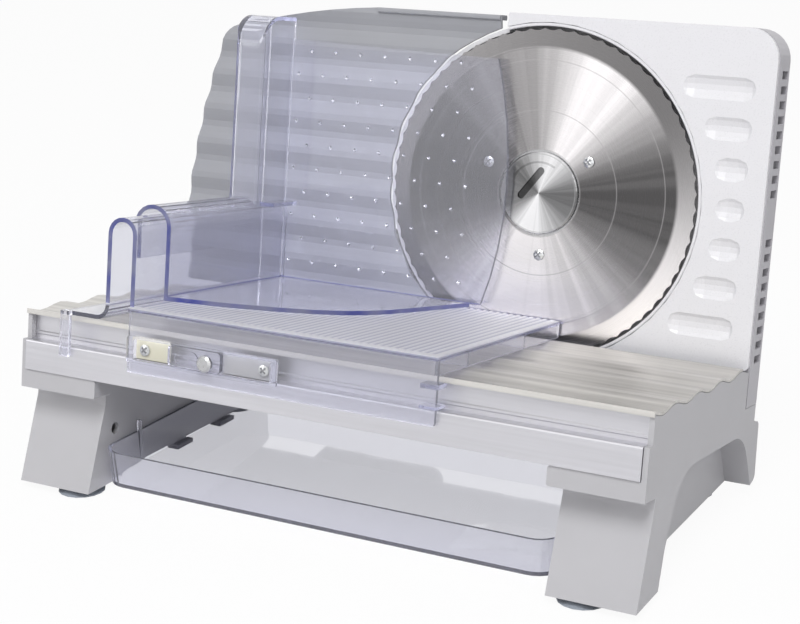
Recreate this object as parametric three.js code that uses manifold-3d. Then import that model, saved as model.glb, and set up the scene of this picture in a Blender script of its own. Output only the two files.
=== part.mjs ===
// Electric food slicer: a leaning serrated blade, a thickness gauge, a sliding carriage and a catch tray.
// Millimetres, +Z up, +X to the right of someone who faces the blade, +Y away from them.
// The machine leans back, so its pieces are drawn upright in a frame of their own, which is then turned.
// There x is 0 at the middle of the base, y is 0 in the plane of the teeth and z is 0 at the blade's axis.
// A reach is a distance in front of the teeth and a drop is a distance below the axis.
// The legs, feet and tray stand level, in a frame with the same origin that isn't turned.
import * as THREE from "three";
import { mergeVertices, toCreasedNormals } from "three/addons/utils/BufferGeometryUtils.js";
import Module from "manifold-3d";

const wasm = await Module();
wasm.setup();

// Driving dimensions
const lean = THREE.MathUtils.degToRad(8);
const axisHeight = 165.8; // blade axis above the table
const halfWidth = 190;
const bladeRadius = 95;
const ringPastTeeth = 3.34;
const ringRadius = bladeRadius + ringPastTeeth; // bowl's mouth round the blade
const switchStrip = 35.66; // right of the bowl's mouth, with the switches
const bladeOffset = halfWidth - switchStrip - ringRadius; // blade's axis
const clearance = 0.3; // between pieces that touch
const overrun = 5; // how far a cut runs past what it cuts
const wall = 2.5; // moulded and pressed walls

// Facets round the housing's circles, round smaller turned pieces and round pins and holes
const roundSides = 44;
const turnedSides = 16;
const pinSides = 8;

// Corrugated deck
const deckDrop = 84.2;
const waveHeight = 1.5;
const wavePitch = 36.7;
const lastCrestReach = 15;
const deckBackReach = 11.6;
const recessReach = 151; // front rail's recess, under the deck's lip
const lipProud = 5.2;
const lipReach = recessReach + lipProud;
const lipDepth = 2.9;
const sheet = 1.2;

// Front rail
const stepDrop = 100.6;
const bandProud = 9;
const bandReach = recessReach + bandProud;
const bandBottomDrop = 117.8;
const railRidgeDrop = 97.2;
const railRidge = 0.6;
const shelfDepth = 11;

// Cheeks and legs
const legWidth = 48.5;
const cheekWall = 2.8;
const archDepth = 15;
const blockBehindBand = 1;
const blockReach = bandReach - blockBehindBand;
const blockBottomDrop = 128.6;
const blockPastLeg = 3.3; // the block's inner end inside the leg
const legRootInset = 7.5;
const legRootReach = recessReach - legRootInset;
const legRootRise = 6.4; // leg's root below the block
const legRootDrop = blockBottomDrop + legRootRise;
const legRootRadius = 5;
const legBottomDrop = 161.5; // level
const legLength = 30.8;
const heelInset = 1;
const heelReach = recessReach - heelInset; // level
const toeReach = heelReach + legLength; // level
const kneeInset = 28.5;
const kneeReach = heelReach - kneeInset;
const kneeDrop = 160;
const kneeRadius = 9;
const archTopDrop = 122.2;
const archInset = 16.5;
const archFrontReach = kneeReach - archInset;
const archFrontRadius = 50;
const archBack = 3;
const archBackRadius = 33;
const rearLegBack = 33.8;
const rearLegBackDrop = 153.6;
const rearLegRadius = 4;
const rearLegHeel = 25.5;
const rearLegHeelDrop = 156.4;
const baseBack = 21.2;
const sideStepDrop = 119;
const coreBottomDrop = 157; // level

// Suction feet
const cupRadius = 13.5;
const cupRim = 1.4;
const cupHollow = 1.8;
const stemRadius = 3;
const stemLength = 9;
const footBoss = 7.5;
const footInset = 15;
const frontFootInset = 13.8;
const frontFootReach = toeReach - frontFootInset; // level
const rearFoot = -4; // level

// Housing
const panelAboveRing = 4.06;
const panelTop = ringRadius + panelAboveRing;
const panelToAxis = 27.5; // panel's left edge to the blade's axis
const panelLeft = bladeOffset - panelToAxis;
const panelBottomDrop = 86;
const panelCorner = 17;
const panelLowCorner = 3;
const panelSheet = 3;
const bladeFace = 1.2; // blade's face in front of its teeth
const bowlDepth = 12.8;
const coverBack = 21.5;
const coverBottomDrop = 87.2;
const skirtDrop = 107.5;
const slotHeight = 13.2;
const slotPitch = 22.15;
const slotTop = 68.6;
const slotCount = 7;
const slotDepth = 2.2;
const slotMargin = 10.3; // slot ends inside the housing's side
const slotsPastRing = 7.66;
const slotCircle = ringRadius + slotsPastRing; // slots start at this circle round the blade
const motorHouseBack = 78;
const houseToAxis = 48; // motor house's left side to the blade's axis
const housePastAxis = 102;
const motorHouseLeft = bladeOffset - houseToAxis;
const motorHouseRight = bladeOffset + housePastAxis;
const motorHouseTop = 52;
const motorHouseDrop = 84;
const motorHouseRound = 7;

// Drive
const wheelPitchRadius = 40;
const wheelTeeth = 40;
const wormStarts = 2;
const wormPitchRadius = 8;
const toothDepth = 4.3;
const wheelFront = 40;
const wheelWidth = 10;
const axleRadius = 6;
const shaftRadius = 3;
const motorRadius = 24;
const motorPastAxis = 36;
const motorLeft = bladeOffset + motorPastAxis;
const motorLength = 50;

// Blade
const toothCount = 66;
const scallop = 1.3;
const bevelWidth = 11;
const bevelRadius = bladeRadius - bevelWidth;
const bladeSheet = 1.5;
const hubHole = 25.3;
const capRadius = 24;
const screwCircle = 36;
const hubRadius = 42;

// Thickness gauge
const gaugeTravel = 15;
const gaugeWave = 1.2;
const gaugePitch = 22.1;
const gaugeGroove = 20.7; // a groove lies this far above the axis
const gaugeSheet = 2;
const gaugePastRing = 0.16;
const gaugeCircle = ringRadius + gaugePastRing;
const gaugeBottomDrop = 80;
const gripBelowPanel = 1.9;
const gripTop = panelTop - gripBelowPanel;
const gripLength = 80.8;
const gripToPanel = 5.1;
const gripRight = panelLeft - gripToPanel;
const gripLeft = gripRight - gripLength;
const gripHeight = 3;
const gripDepth = 9;
const gaugeAxisDrop = 62;
const dialToAxis = 121;
const dialX = bladeOffset - dialToAxis;
const guideSpacing = 64;
const guideRadius = 4;
const dialRadius = 24;

// Food carriage
const floorDrop = 72.4;
const carriageSheet = 2.4;
const carriagePastAxis = 20.5;
const carriageRight = bladeOffset + carriagePastAxis;
const carriageProud = 2.8;
const carriageReach = bandReach + carriageProud;
const carriageBackReach = 3.6;
const apronBottomDrop = 108.5;
const ribPitch = 4.3;
const ribHeight = 0.8;
const ribMargin = 4;
const railInset = 67.35;
const railX = railInset - halfWidth; // middle of the raised rail that carries the food holder
const railTopDrop = 23.6;
const railOuter = 9.5;
const flangeLength = 26.85;
const flangeLeft = railX - railOuter - flangeLength;
const flangeDrop = 79.9;
const flangeFillet = 6;

// Food holder
const holderWall = 2.3;
const holderGap = 0.5;
const holderTopDrop = 18;
const holderReach = 132;
const holderLipDrop = 49.5;
const columnHalf = 10.4;
const columnReach = 41;
const columnTop = 91;
const columnCorner = 20;
const columnRound = 5;
const plateReach = 8;
const plateTop = 77.9;
const shelfDrop = 69;
const studPitchX = 16.9;
const studPitchZ = 14.4;
const studTop = 71.5;
const studsToRail = 24.05;
const studLeft = railX + studsToRail;
const studRadius = 1.7;
const studHeight = 1.6;

// Catch tray
const trayHalf = halfWidth - legWidth - clearance;
const trayInset = 10.8;
const trayFrontReach = toeReach - trayInset;
const trayBackReach = 14;
const trayBottomDrop = 158.5;
const trayHeight = 20.5;
const trayWall = 1.8;
const trayCorner = 14;
const trayDraft = 1.2;
const trayRib = 2.6;
const trayRibReach = 132.6;
const trayRibProud = 7; // above the tray's rim

// Finishes
function finish(color, roughness, metalness, opacity = 1) {
  return new THREE.MeshStandardMaterial({ color, roughness, metalness, opacity, transparent: opacity < 1 });
}
const finishes = {
  deck: finish(0xc4c1bc, 0.3, 1),
  rail: finish(0xc9cacd, 0.4, 0.8),
  cheek: finish(0xb4b5b9, 0.5, 0.1),
  panel: finish(0xe4e4e8, 0.3, 0.1),
  gauge: finish(0xa5a7af, 0.4, 0.6),
  blade: finish(0xc8c6c2, 0.22, 1),
  steel: finish(0xb9babd, 0.3, 1),
  clear: finish(0xc9d2ee, 0.08, 0, 0.35),
  cream: finish(0xe6e0c8, 0.5, 0),
  strip: finish(0x9a9ca4, 0.5, 0),
  rubber: finish(0x8f9aa8, 0.6, 0),
  black: finish(0x1d1e21, 0.5, 0),
  gear: finish(0xf0ede2, 0.5, 0),
};

// A geometry as a solid that can be joined and cut. One wound the wrong way round is turned out.
function solid(geometry) {
  const bare = geometry.clone();
  bare.deleteAttribute("normal");
  bare.deleteAttribute("uv");
  const merged = mergeVertices(bare);
  const corners = merged.index.array;
  const triVerts = [];
  for (let i = 0; i < corners.length; i += 3) {
    const [a, b, c] = corners.slice(i, i + 3);
    if (a !== b && b !== c && c !== a) triVerts.push(a, b, c);
  }
  const build = (indices) =>
    new wasm.Manifold(
      new wasm.Mesh({
        numProp: 3,
        vertProperties: new Float32Array(merged.attributes.position.array),
        triVerts: new Uint32Array(indices),
      }),
    );
  const made = build(triVerts);
  return made.volume() < 0 ? build(triVerts.reverse()) : made;
}

function join(first, ...others) {
  return others.reduce((sum, other) => sum.add(other), first);
}

function cut(first, ...others) {
  return others.reduce((rest, other) => rest.subtract(other), first);
}

// A solid as a geometry to show, smooth over its small edges.
const creaseAngle = THREE.MathUtils.degToRad(35);
function geometryOf(made) {
  const mesh = made.getMesh();
  const geometry = new THREE.BufferGeometry();
  geometry.setAttribute("position", new THREE.BufferAttribute(mesh.vertProperties, mesh.numProp));
  geometry.setIndex(new THREE.BufferAttribute(mesh.triVerts, 1));
  return toCreasedNormals(geometry, creaseAngle);
}

// A closed outline of [across, up, corner radius] corners. A corner with a radius becomes an arc.
const cornerSteps = 5;
const coarseSteps = 3;
const fineSteps = 8;
function outline(corners, steps = cornerSteps) {
  const points = [];
  corners.forEach(([across, up, radius = 0], i) => {
    const corner = new THREE.Vector2(across, up);
    const before = new THREE.Vector2(...corners.at(i - 1)).sub(corner);
    const after = new THREE.Vector2(...corners[(i + 1) % corners.length]).sub(corner);
    const half = Math.abs(Math.atan2(before.cross(after), before.dot(after))) / 2;
    if (radius === 0 || half > Math.PI / 2 - 0.01) {
      points.push(corner);
      return;
    }
    const reach = Math.min(radius / Math.tan(half), before.length() / 2, after.length() / 2);
    const round = reach * Math.tan(half);
    const bisector = before.clone().normalize().add(after.clone().normalize()).normalize();
    const centre = corner.clone().addScaledVector(bisector, round / Math.sin(half));
    const start = corner.clone().addScaledVector(before.normalize(), reach).sub(centre);
    const end = corner.clone().addScaledVector(after.normalize(), reach).sub(centre);
    const turn = (Math.PI - 2 * half) * Math.sign(start.cross(end));
    for (let k = 0; k <= steps; k++) {
      const spoke = start.clone().rotateAround(new THREE.Vector2(), (turn * k) / steps);
      points.push(spoke.add(centre));
    }
  });
  return new THREE.Shape(points);
}

function rectangle(left, right, bottom, top, radius = 0, steps = cornerSteps) {
  const corners = [[left, bottom], [right, bottom], [right, top], [left, top]];
  return outline(corners.map((corner) => [...corner, radius]), steps);
}

function circlePoints(radius, count, across = 0, up = 0, from = 0, sweep = Math.PI * 2) {
  const full = Math.abs(sweep) >= Math.PI * 2;
  return Array.from({ length: full ? count : count + 1 }, (_, k) => {
    const angle = from + (sweep * k) / count;
    return new THREE.Vector2(across + radius * Math.cos(angle), up + radius * Math.sin(angle));
  });
}

function disc(radius, count, across = 0, up = 0) {
  return new THREE.Shape(circlePoints(radius, count, across, up));
}

// Extrusions along each axis. Along x a shape is drawn in (y, z), along y in (x, z), along z in (x, y).
const drawnAlong = {
  x: new THREE.Matrix4().set(0, 0, 1, 0, 1, 0, 0, 0, 0, 1, 0, 0, 0, 0, 0, 1),
  y: new THREE.Matrix4().set(1, 0, 0, 0, 0, 0, -1, 0, 0, 1, 0, 0, 0, 0, 0, 1),
  z: new THREE.Matrix4(),
};

function along(axis, shape, from, to, bevel = 0) {
  const low = Math.min(from, to);
  const high = Math.max(from, to);
  const geometry = new THREE.ExtrudeGeometry(shape, {
    depth: high - low - 2 * bevel,
    bevelEnabled: bevel > 0,
    bevelThickness: bevel,
    bevelSize: bevel,
    bevelOffset: -bevel,
    bevelSegments: coarseSteps,
  });
  geometry.translate(0, 0, axis === "y" ? bevel - high : bevel + low);
  return solid(geometry.applyMatrix4(drawnAlong[axis]));
}

function box(left, right, front, back, bottom, top) {
  const geometry = new THREE.BoxGeometry(right - left, back - front, top - bottom);
  return solid(geometry.translate((left + right) / 2, (front + back) / 2, (bottom + top) / 2));
}

// A revolved solid about an upright line, or about one along y, from a closed [radius, along] profile.
function revolved(profile, sides = 32) {
  const points = profile.map(([radius, up]) => new THREE.Vector2(radius, up));
  return new THREE.LatheGeometry(points.concat(points[0]), sides);
}

function turnedAlongY(profile, across, up, sides) {
  return solid(revolved(profile, sides).translate(across, 0, up));
}

function turnedUpright(profile, across, back, sides) {
  return solid(revolved(profile, sides).rotateX(Math.PI / 2).translate(across, back, 0));
}

function turnedAlongX(profile, back, up, sides) {
  return solid(revolved(profile, sides).rotateZ(-Math.PI / 2).translate(0, back, up));
}

function cylinderProfile(radius, from, to) {
  return [[0, from], [radius, from], [radius, to], [0, to]];
}

function tubeProfile(inner, outer, from, to) {
  return [[inner, from], [outer, from], [outer, to], [inner, to]];
}

// A solid through rings of equally many points, with flat ends.
function lofted(rings) {
  const count = rings[0].length;
  const ends = [rings[0], rings.at(-1)];
  const middles = ends.map((ring) => {
    const sum = ring.reduce((total, point) => total.clone().add(point));
    return sum.clone().divideScalar(count);
  });
  const positions = rings.flat().concat(middles);
  const index = [];
  for (let k = 0; k < count; k++) {
    const next = (k + 1) % count;
    rings.slice(1).forEach((_, ring) => {
      const low = ring * count;
      const high = low + count;
      index.push(low + k, low + next, high + next, low + k, high + next, high + k);
    });
    const last = (rings.length - 1) * count;
    index.push(positions.length - 2, next, k, positions.length - 1, last + k, last + next);
  }
  const geometry = new THREE.BufferGeometry().setFromPoints(positions);
  return solid(geometry.setIndex(index));
}

// Group and pieces
const assembly = new THREE.Group();
const machine = new THREE.Group();
machine.rotation.x = -lean;
assembly.add(machine);

function piece(name, made, material, group = machine) {
  const mesh = new THREE.Mesh(geometryOf(made), material);
  mesh.name = name;
  group.add(mesh);
  return mesh;
}

// A level point's place in the leaning frame, as [y, z].
function leaning(back, up) {
  return [back * Math.cos(lean) - up * Math.sin(lean), back * Math.sin(lean) + up * Math.cos(lean)];
}

function level(made) {
  return solid(geometryOf(made).rotateX(lean));
}

// Corrugated deck: one pressed sheet whose front edge is folded down as a lip.
function deckHeight(back) {
  return -deckDrop + waveHeight * Math.cos((2 * Math.PI * (back + lastCrestReach)) / wavePitch);
}

function wavyLine(front, back, lower = 0) {
  const steps = Math.ceil((back - front) / (wavePitch / 6));
  return Array.from({ length: steps + 1 }, (_, k) => {
    const place = front + ((back - front) * k) / steps;
    return [place, deckHeight(place) - lower];
  });
}

function deck() {
  const top = wavyLine(-lipReach, -deckBackReach);
  const under = wavyLine(-lipReach + sheet, -deckBackReach, sheet).reverse();
  const lipBottom = deckHeight(-lipReach) - lipDepth;
  const profile = [...top, ...under, [-lipReach + sheet, lipBottom], [-lipReach, lipBottom]];
  return along("x", outline(profile), -halfWidth, halfWidth);
}
piece("deck", deck(), finishes.deck);

// Front rail: a folded band with a recess under the deck's lip.
const deckLowest = -deckDrop - waveHeight - sheet - clearance;
const railHalf = halfWidth - cheekWall - clearance;
function frontRail() {
  const shelfBack = -recessReach + shelfDepth;
  const profile = [
    [-recessReach, deckLowest],
    [-recessReach, -railRidgeDrop + 2 * railRidge],
    [-recessReach - railRidge, -railRidgeDrop + railRidge],
    [-recessReach - railRidge, -railRidgeDrop - railRidge],
    [-recessReach, -railRidgeDrop - 2 * railRidge],
    [-recessReach, -stepDrop],
    [-bandReach, -stepDrop, 1],
    [-bandReach, -bandBottomDrop],
    [-bandReach + wall, -bandBottomDrop],
    [-bandReach + wall, -stepDrop - wall],
    [-recessReach + wall, -stepDrop - wall],
    [-recessReach + wall, deckLowest - wall],
    [shelfBack, deckLowest - wall],
    [shelfBack, deckLowest],
  ];
  return along("x", outline(profile, coarseSteps), -railHalf, railHalf);
}
piece("front_rail", frontRail(), finishes.rail);

// Base pan: the inverted pressing under the deck, open below, with a gap for the blade and its bowl.
const bowlOuter = ringRadius + wall;
const panFront = -recessReach + shelfDepth + clearance;
function basePan() {
  const shell = cut(
    box(-railHalf, railHalf, panFront, baseBack, -bandBottomDrop, deckLowest),
    box(
      -railHalf + wall,
      railHalf - wall,
      panFront + wall,
      baseBack - wall,
      -bandBottomDrop - overrun,
      deckLowest - wall,
    ),
  );
  const bladeGap = cylinderProfile(bowlOuter + clearance, -bladeFace - overrun, baseBack + overrun);
  return cut(shell, turnedAlongY(bladeGap, bladeOffset, 0, roundSides));
}
piece("base_pan", basePan(), finishes.cheek);

// Cheeks: hollow end mouldings with a front leg, a rear leg and a shallow arch between them outside.
const toe = leaning(-toeReach, -legBottomDrop);
const heel = leaning(-heelReach, -legBottomDrop);
const coreFront = leaning(-heelReach + legWidth / 2, -coreBottomDrop);
const legFront = [
  [-blockReach, -blockBottomDrop],
  [-legRootReach, -blockBottomDrop - clearance],
  [-legRootReach, -legRootDrop, legRootRadius],
  toe,
  heel,
];
const legBack = [
  [rearLegHeel, -rearLegHeelDrop],
  [rearLegBack, -rearLegBackDrop, rearLegRadius],
  [rearLegBack - cheekWall, -sideStepDrop, rearLegRadius],
];
const blockTop = -bandBottomDrop - clearance;
const wallInside = halfWidth - cheekWall;

function cheekShell(side) {
  const skin = [
    [-blockReach, -stepDrop],
    ...legFront,
    [-kneeReach, -kneeDrop, kneeRadius],
    [-archFrontReach, -archTopDrop, archFrontRadius],
    [archBack, -archTopDrop, archBackRadius],
    ...legBack,
    [baseBack, -sideStepDrop],
    [baseBack, -skirtDrop - clearance],
    [clearance, -skirtDrop - clearance],
    ...wavyLine(-lipReach + sheet + clearance, 0, sheet + clearance).reverse(),
    [-lipReach + sheet + clearance, -stepDrop],
  ];
  const core = [
    [-blockReach, blockTop],
    ...legFront,
    coreFront,
    ...legBack,
    [baseBack, blockTop],
  ];
  const behindRail = box(-wallInside, wallInside, -bandReach - overrun, baseBack, blockTop, 0);
  const inner = side * (halfWidth - legWidth);
  const blockEnds = [inner - side * blockPastLeg, inner + side * cheekWall].sort((a, b) => a - b);
  const block = rectangle(...blockEnds, -blockBottomDrop, blockTop, cheekWall / 2);
  return join(
    cut(along("x", outline(skin, fineSteps), side * (halfWidth - archDepth), side * halfWidth), behindRail),
    along("x", outline(core), inner, side * (halfWidth - archDepth)),
    along("y", block, -blockReach, -legRootReach),
  );
}

function cheekHollows(side) {
  const inner = side * (halfWidth - legWidth + cheekWall);
  const roof = blockTop - cheekWall;
  const floor = -legBottomDrop - axisHeight;
  const front = [
    [toe[0] + cheekWall, floor],
    [toe[0] + cheekWall, toe[1]],
    [-legRootReach + cheekWall, -legRootDrop - cheekWall],
    [-kneeReach - cheekWall, -legRootDrop - cheekWall],
    [heel[0] - cheekWall, heel[1]],
    [heel[0] - cheekWall, floor],
  ];
  const middle = [
    [-kneeReach, floor],
    [-kneeReach, -kneeDrop],
    [-archFrontReach, roof],
    [archBack, roof],
    [archBack, floor],
  ];
  const rear = rectangle(archBack + cheekWall, rearLegBack - 2 * cheekWall, floor, roof);
  const recess = side * (halfWidth - archDepth - cheekWall);
  return join(
    along("x", outline(front), inner, side * wallInside),
    along("x", outline(middle), inner, recess),
    along("x", rear, inner, recess),
  );
}

function footPlace(reach, side) {
  return [side * (halfWidth - legWidth + footInset), reach];
}
const footPlaces = {
  front_left: footPlace(-frontFootReach, -1),
  front_right: footPlace(-frontFootReach, 1),
  rear_left: footPlace(rearFoot, -1),
  rear_right: footPlace(rearFoot, 1),
};

// Tray lugs: rounded tabs below each cheek's inner wall, each with a ledge under the tray.
const lugPlaces = [-91.5, -45];
const lugWidth = 16;
const ledgeReach = 6;
const ledgeTop = -trayBottomDrop - clearance;
const ledgeBottom = ledgeTop - wall;
function trayLug(side, place) {
  const inner = side * (halfWidth - legWidth);
  const tabTop = -coreBottomDrop + lugWidth / 2;
  const tab = rectangle(place - lugWidth / 2, place + lugWidth / 2, ledgeBottom, tabTop, wall);
  const ledge = rectangle(place - lugWidth / 2, place + lugWidth / 2, ledgeBottom, ledgeTop);
  return join(
    along("x", tab, inner, inner + side * cheekWall),
    along("x", ledge, inner + (side * cheekWall) / 2, inner - side * ledgeReach),
  );
}

// A foot's boss, a short tube inside the leg with a web that ties it to both walls.
const bossHeight = stemLength + wall;
function footSocket(across, back) {
  const low = -legBottomDrop;
  const webHalf = (halfWidth - wallInside) / 2;
  const innerWall = Math.sign(across) * (halfWidth - legWidth);
  const outerWall = Math.sign(across) * (halfWidth - archDepth);
  return join(
    turnedUpright(cylinderProfile(footBoss, low, low + bossHeight), across, back, turnedSides),
    along(
      "x",
      rectangle(back - webHalf, back + webHalf, low + wall, low + bossHeight),
      innerWall + Math.sign(across),
      outerWall - Math.sign(across),
    ),
  );
}

function footBore(across, back) {
  const profile = cylinderProfile(
    stemRadius + clearance,
    -legBottomDrop - overrun,
    -legBottomDrop + stemLength + clearance,
  );
  return turnedUpright(profile, across, back, turnedSides);
}

// A sight hole through the front leg's inner wall.
const sightHoleRadius = 3.5;
const sightHoleReach = 152.8; // level
const sightHoleDrop = 130; // level
function sightHole(side) {
  const inner = side * (halfWidth - legWidth);
  const shape = disc(sightHoleRadius, turnedSides, -sightHoleReach, -sightHoleDrop);
  return along("x", shape, inner - overrun, inner + overrun);
}

function cheek(side) {
  const places = Object.values(footPlaces).filter(([across]) => Math.sign(across) === side);
  const added = [
    ...places.map(([across, back]) => footSocket(across, back)),
    ...lugPlaces.map((place) => trayLug(side, place)),
  ];
  const cuts = [...places.map(([across, back]) => footBore(across, back)), sightHole(side)];
  const hollow = cut(cheekShell(side), cheekHollows(side));
  return cut(join(hollow, ...added.map(level)), ...cuts.map(level));
}
piece("left_cheek", cheek(-1), finishes.cheek);
piece("right_cheek", cheek(1), finishes.cheek);

// Suction feet: rubber cups whose stems push up into the legs' bosses.
function suctionFoot(across, back) {
  const top = -legBottomDrop - clearance;
  return turnedUpright(
    [
      [0, -axisHeight + cupHollow],
      [cupRadius - 3 * cupRim, -axisHeight + cupHollow / 2],
      [cupRadius - cupRim, -axisHeight],
      [cupRadius, -axisHeight],
      [cupRadius, -axisHeight + cupRim / 2],
      [footBoss, top],
      [stemRadius, top],
      [stemRadius, -legBottomDrop + stemLength],
      [0, -legBottomDrop + stemLength],
    ],
    across,
    back,
    turnedSides,
  );
}
for (const [name, [across, back]] of Object.entries(footPlaces))
  piece("suction_foot_" + name, suctionFoot(across, back), finishes.rubber, assembly);

// Blade panel: the white front of the housing with its ring, the bowl behind the blade and the slots.
const panelRim = 0.5; // the cover's edge shows round the panel
const panelRight = halfWidth - panelRim;
const panelFace = -bladeFace;
const panelBack = panelFace + panelSheet;
const bossRadius = 15.5;
const bushRadius = 12;
const bossBack = 30;
const screwInset = 12;
const screwTop = 90;
const screwDrop = 76;
const innerScrewTopInset = 65;
const innerScrewDropInset = 50;
const coverScrews = [
  [halfWidth - screwInset, screwTop],
  [halfWidth - innerScrewTopInset, screwTop],
  [halfWidth - screwInset, -screwDrop],
  [halfWidth - innerScrewDropInset, -screwDrop],
];
const screwPost = 4.5;
const screwShank = 1.4;
const screwHead = 3.4;
const rightOfGauge = panelLeft - clearance;

function panelOutline(inset = 0) {
  return outline([
    [panelLeft + inset, -panelBottomDrop + inset],
    [panelRight - inset, -panelBottomDrop + inset, panelLowCorner],
    [panelRight - inset, panelTop - inset, panelCorner - inset],
    [panelLeft + inset, panelTop - inset, 1],
  ], fineSteps);
}

// Each slot is a scoop: the part of a long round-ended bar that dips into the panel.
const scoopSteps = 4;
function panelSlots() {
  const half = slotHeight / 2;
  const radius = (half ** 2 + slotDepth ** 2) / (2 * slotDepth);
  const axis = panelFace + slotDepth - radius;
  return Array.from({ length: slotCount }, (_, k) => {
    const middle = slotTop - slotPitch * k;
    const left = bladeOffset + Math.sqrt(slotCircle ** 2 - middle ** 2) + half;
    const right = panelRight - slotMargin - half;
    const quarter = (end, from) => {
      const arc = circlePoints(radius, scoopSteps, end, 0, from, -Math.PI / 2);
      return arc.map((point) => [Math.max(0, point.y), point.x]);
    };
    const bar = [...quarter(left, Math.PI), ...quarter(right, Math.PI / 2)];
    return turnedAlongX(bar, axis, middle, roundSides / 2);
  });
}

function bladePanel() {
  const plate = along("y", panelOutline(), panelFace, panelBack);
  const gaugeSide = box(
    bladeOffset - 2 * bladeRadius,
    rightOfGauge,
    panelFace - overrun,
    bossBack,
    -gaugeBottomDrop - 2 * clearance,
    panelTop,
  );
  const ringBack = bowlDepth + wall;
  const rightWall = cut(
    turnedAlongY(tubeProfile(ringRadius, bowlOuter, panelFace, ringBack), bladeOffset, 0, roundSides),
    gaugeSide,
    box(
      bladeOffset - bowlOuter - overrun,
      bladeOffset + bowlOuter + overrun,
      panelFace - overrun,
      panelBack,
      -bowlOuter - overrun,
      -panelBottomDrop,
    ),
  );
  const leftRadius = gaugeCircle - 3 * clearance;
  const aboutAxis = (profile, sides = roundSides) => turnedAlongY(profile, bladeOffset, 0, sides);
  const leftWall = aboutAxis(tubeProfile(leftRadius - wall, leftRadius, wall, ringBack)).intersect(gaugeSide);
  const floor = join(
    cut(aboutAxis(tubeProfile(bushRadius, bowlOuter, bowlDepth, ringBack)), gaugeSide),
    aboutAxis(tubeProfile(bushRadius, leftRadius, bowlDepth, ringBack)),
  );
  const boss = aboutAxis(tubeProfile(bushRadius, bossRadius, bowlDepth, bossBack), turnedSides);
  const posts = coverScrews.map(([across, up]) =>
    turnedAlongY(
      tubeProfile(screwShank + clearance, screwPost, panelBack - clearance, coverBack - wall - clearance),
      across,
      up,
      pinSides,
    ),
  );
  const opening = turnedAlongY(
    cylinderProfile(ringRadius, panelFace - overrun, panelBack + clearance),
    bladeOffset,
    0,
    roundSides,
  );
  return join(cut(plate, opening, ...panelSlots()), rightWall, leftWall, floor, boss, ...posts);
}
piece("blade_panel", bladePanel(), finishes.panel);

// Rear cover: the shell behind the panel, with the motor's house, louvres on its side and vents behind.
const coverRight = halfWidth;
function coverOutline(inset) {
  return outline([
    [panelLeft + inset, -coverBottomDrop + inset],
    [coverRight - inset, -coverBottomDrop + inset],
    [coverRight - inset, panelTop - inset, panelCorner - inset],
    [panelLeft + inset, panelTop - inset, 2],
  ], fineSteps);
}

// Louvres: two rows of wedges that deepen to the back and break through there.
const louvrePitch = 8.2;
const louvreGap = 4.4;
const louvreCount = 9;
const louvreTops = [80, -12.9];
const louvreFront = 8;
const louvreDepth = 5;
function sideLouvres() {
  const wedge = outline([
    [coverRight, louvreFront],
    [coverRight + overrun, louvreFront],
    [coverRight + overrun, coverBack - wall],
    [coverRight - louvreDepth, coverBack - wall],
  ]);
  return louvreTops.flatMap((rowTop) =>
    Array.from({ length: louvreCount }, (_, k) => {
      const top = rowTop - louvrePitch * k;
      return along("z", wedge, top - louvreGap, top);
    }),
  );
}

const ventCount = 6;
const ventPitch = 9;
const ventGap = 3.5;
function motorVents() {
  return Array.from({ length: ventCount }, (_, k) => {
    const top = motorHouseTop - 3 * motorHouseRound - ventPitch * k;
    return box(
      motorHouseRight - 8 * motorHouseRound,
      motorHouseRight - 2 * motorHouseRound,
      motorHouseBack - 2 * wall,
      motorHouseBack + overrun,
      top - ventGap,
      top,
    );
  });
}

function motorHouse(inset, front) {
  const shape = rectangle(
    motorHouseLeft + inset,
    motorHouseRight - inset,
    -motorHouseDrop + inset,
    motorHouseTop - inset,
    2 * motorHouseRound,
  );
  const whole = along("y", shape, -motorHouseBack, motorHouseBack - inset, motorHouseRound);
  return cut(whole, box(-halfWidth, halfWidth, -motorHouseBack - overrun, front, -axisHeight, axisHeight));
}

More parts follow.
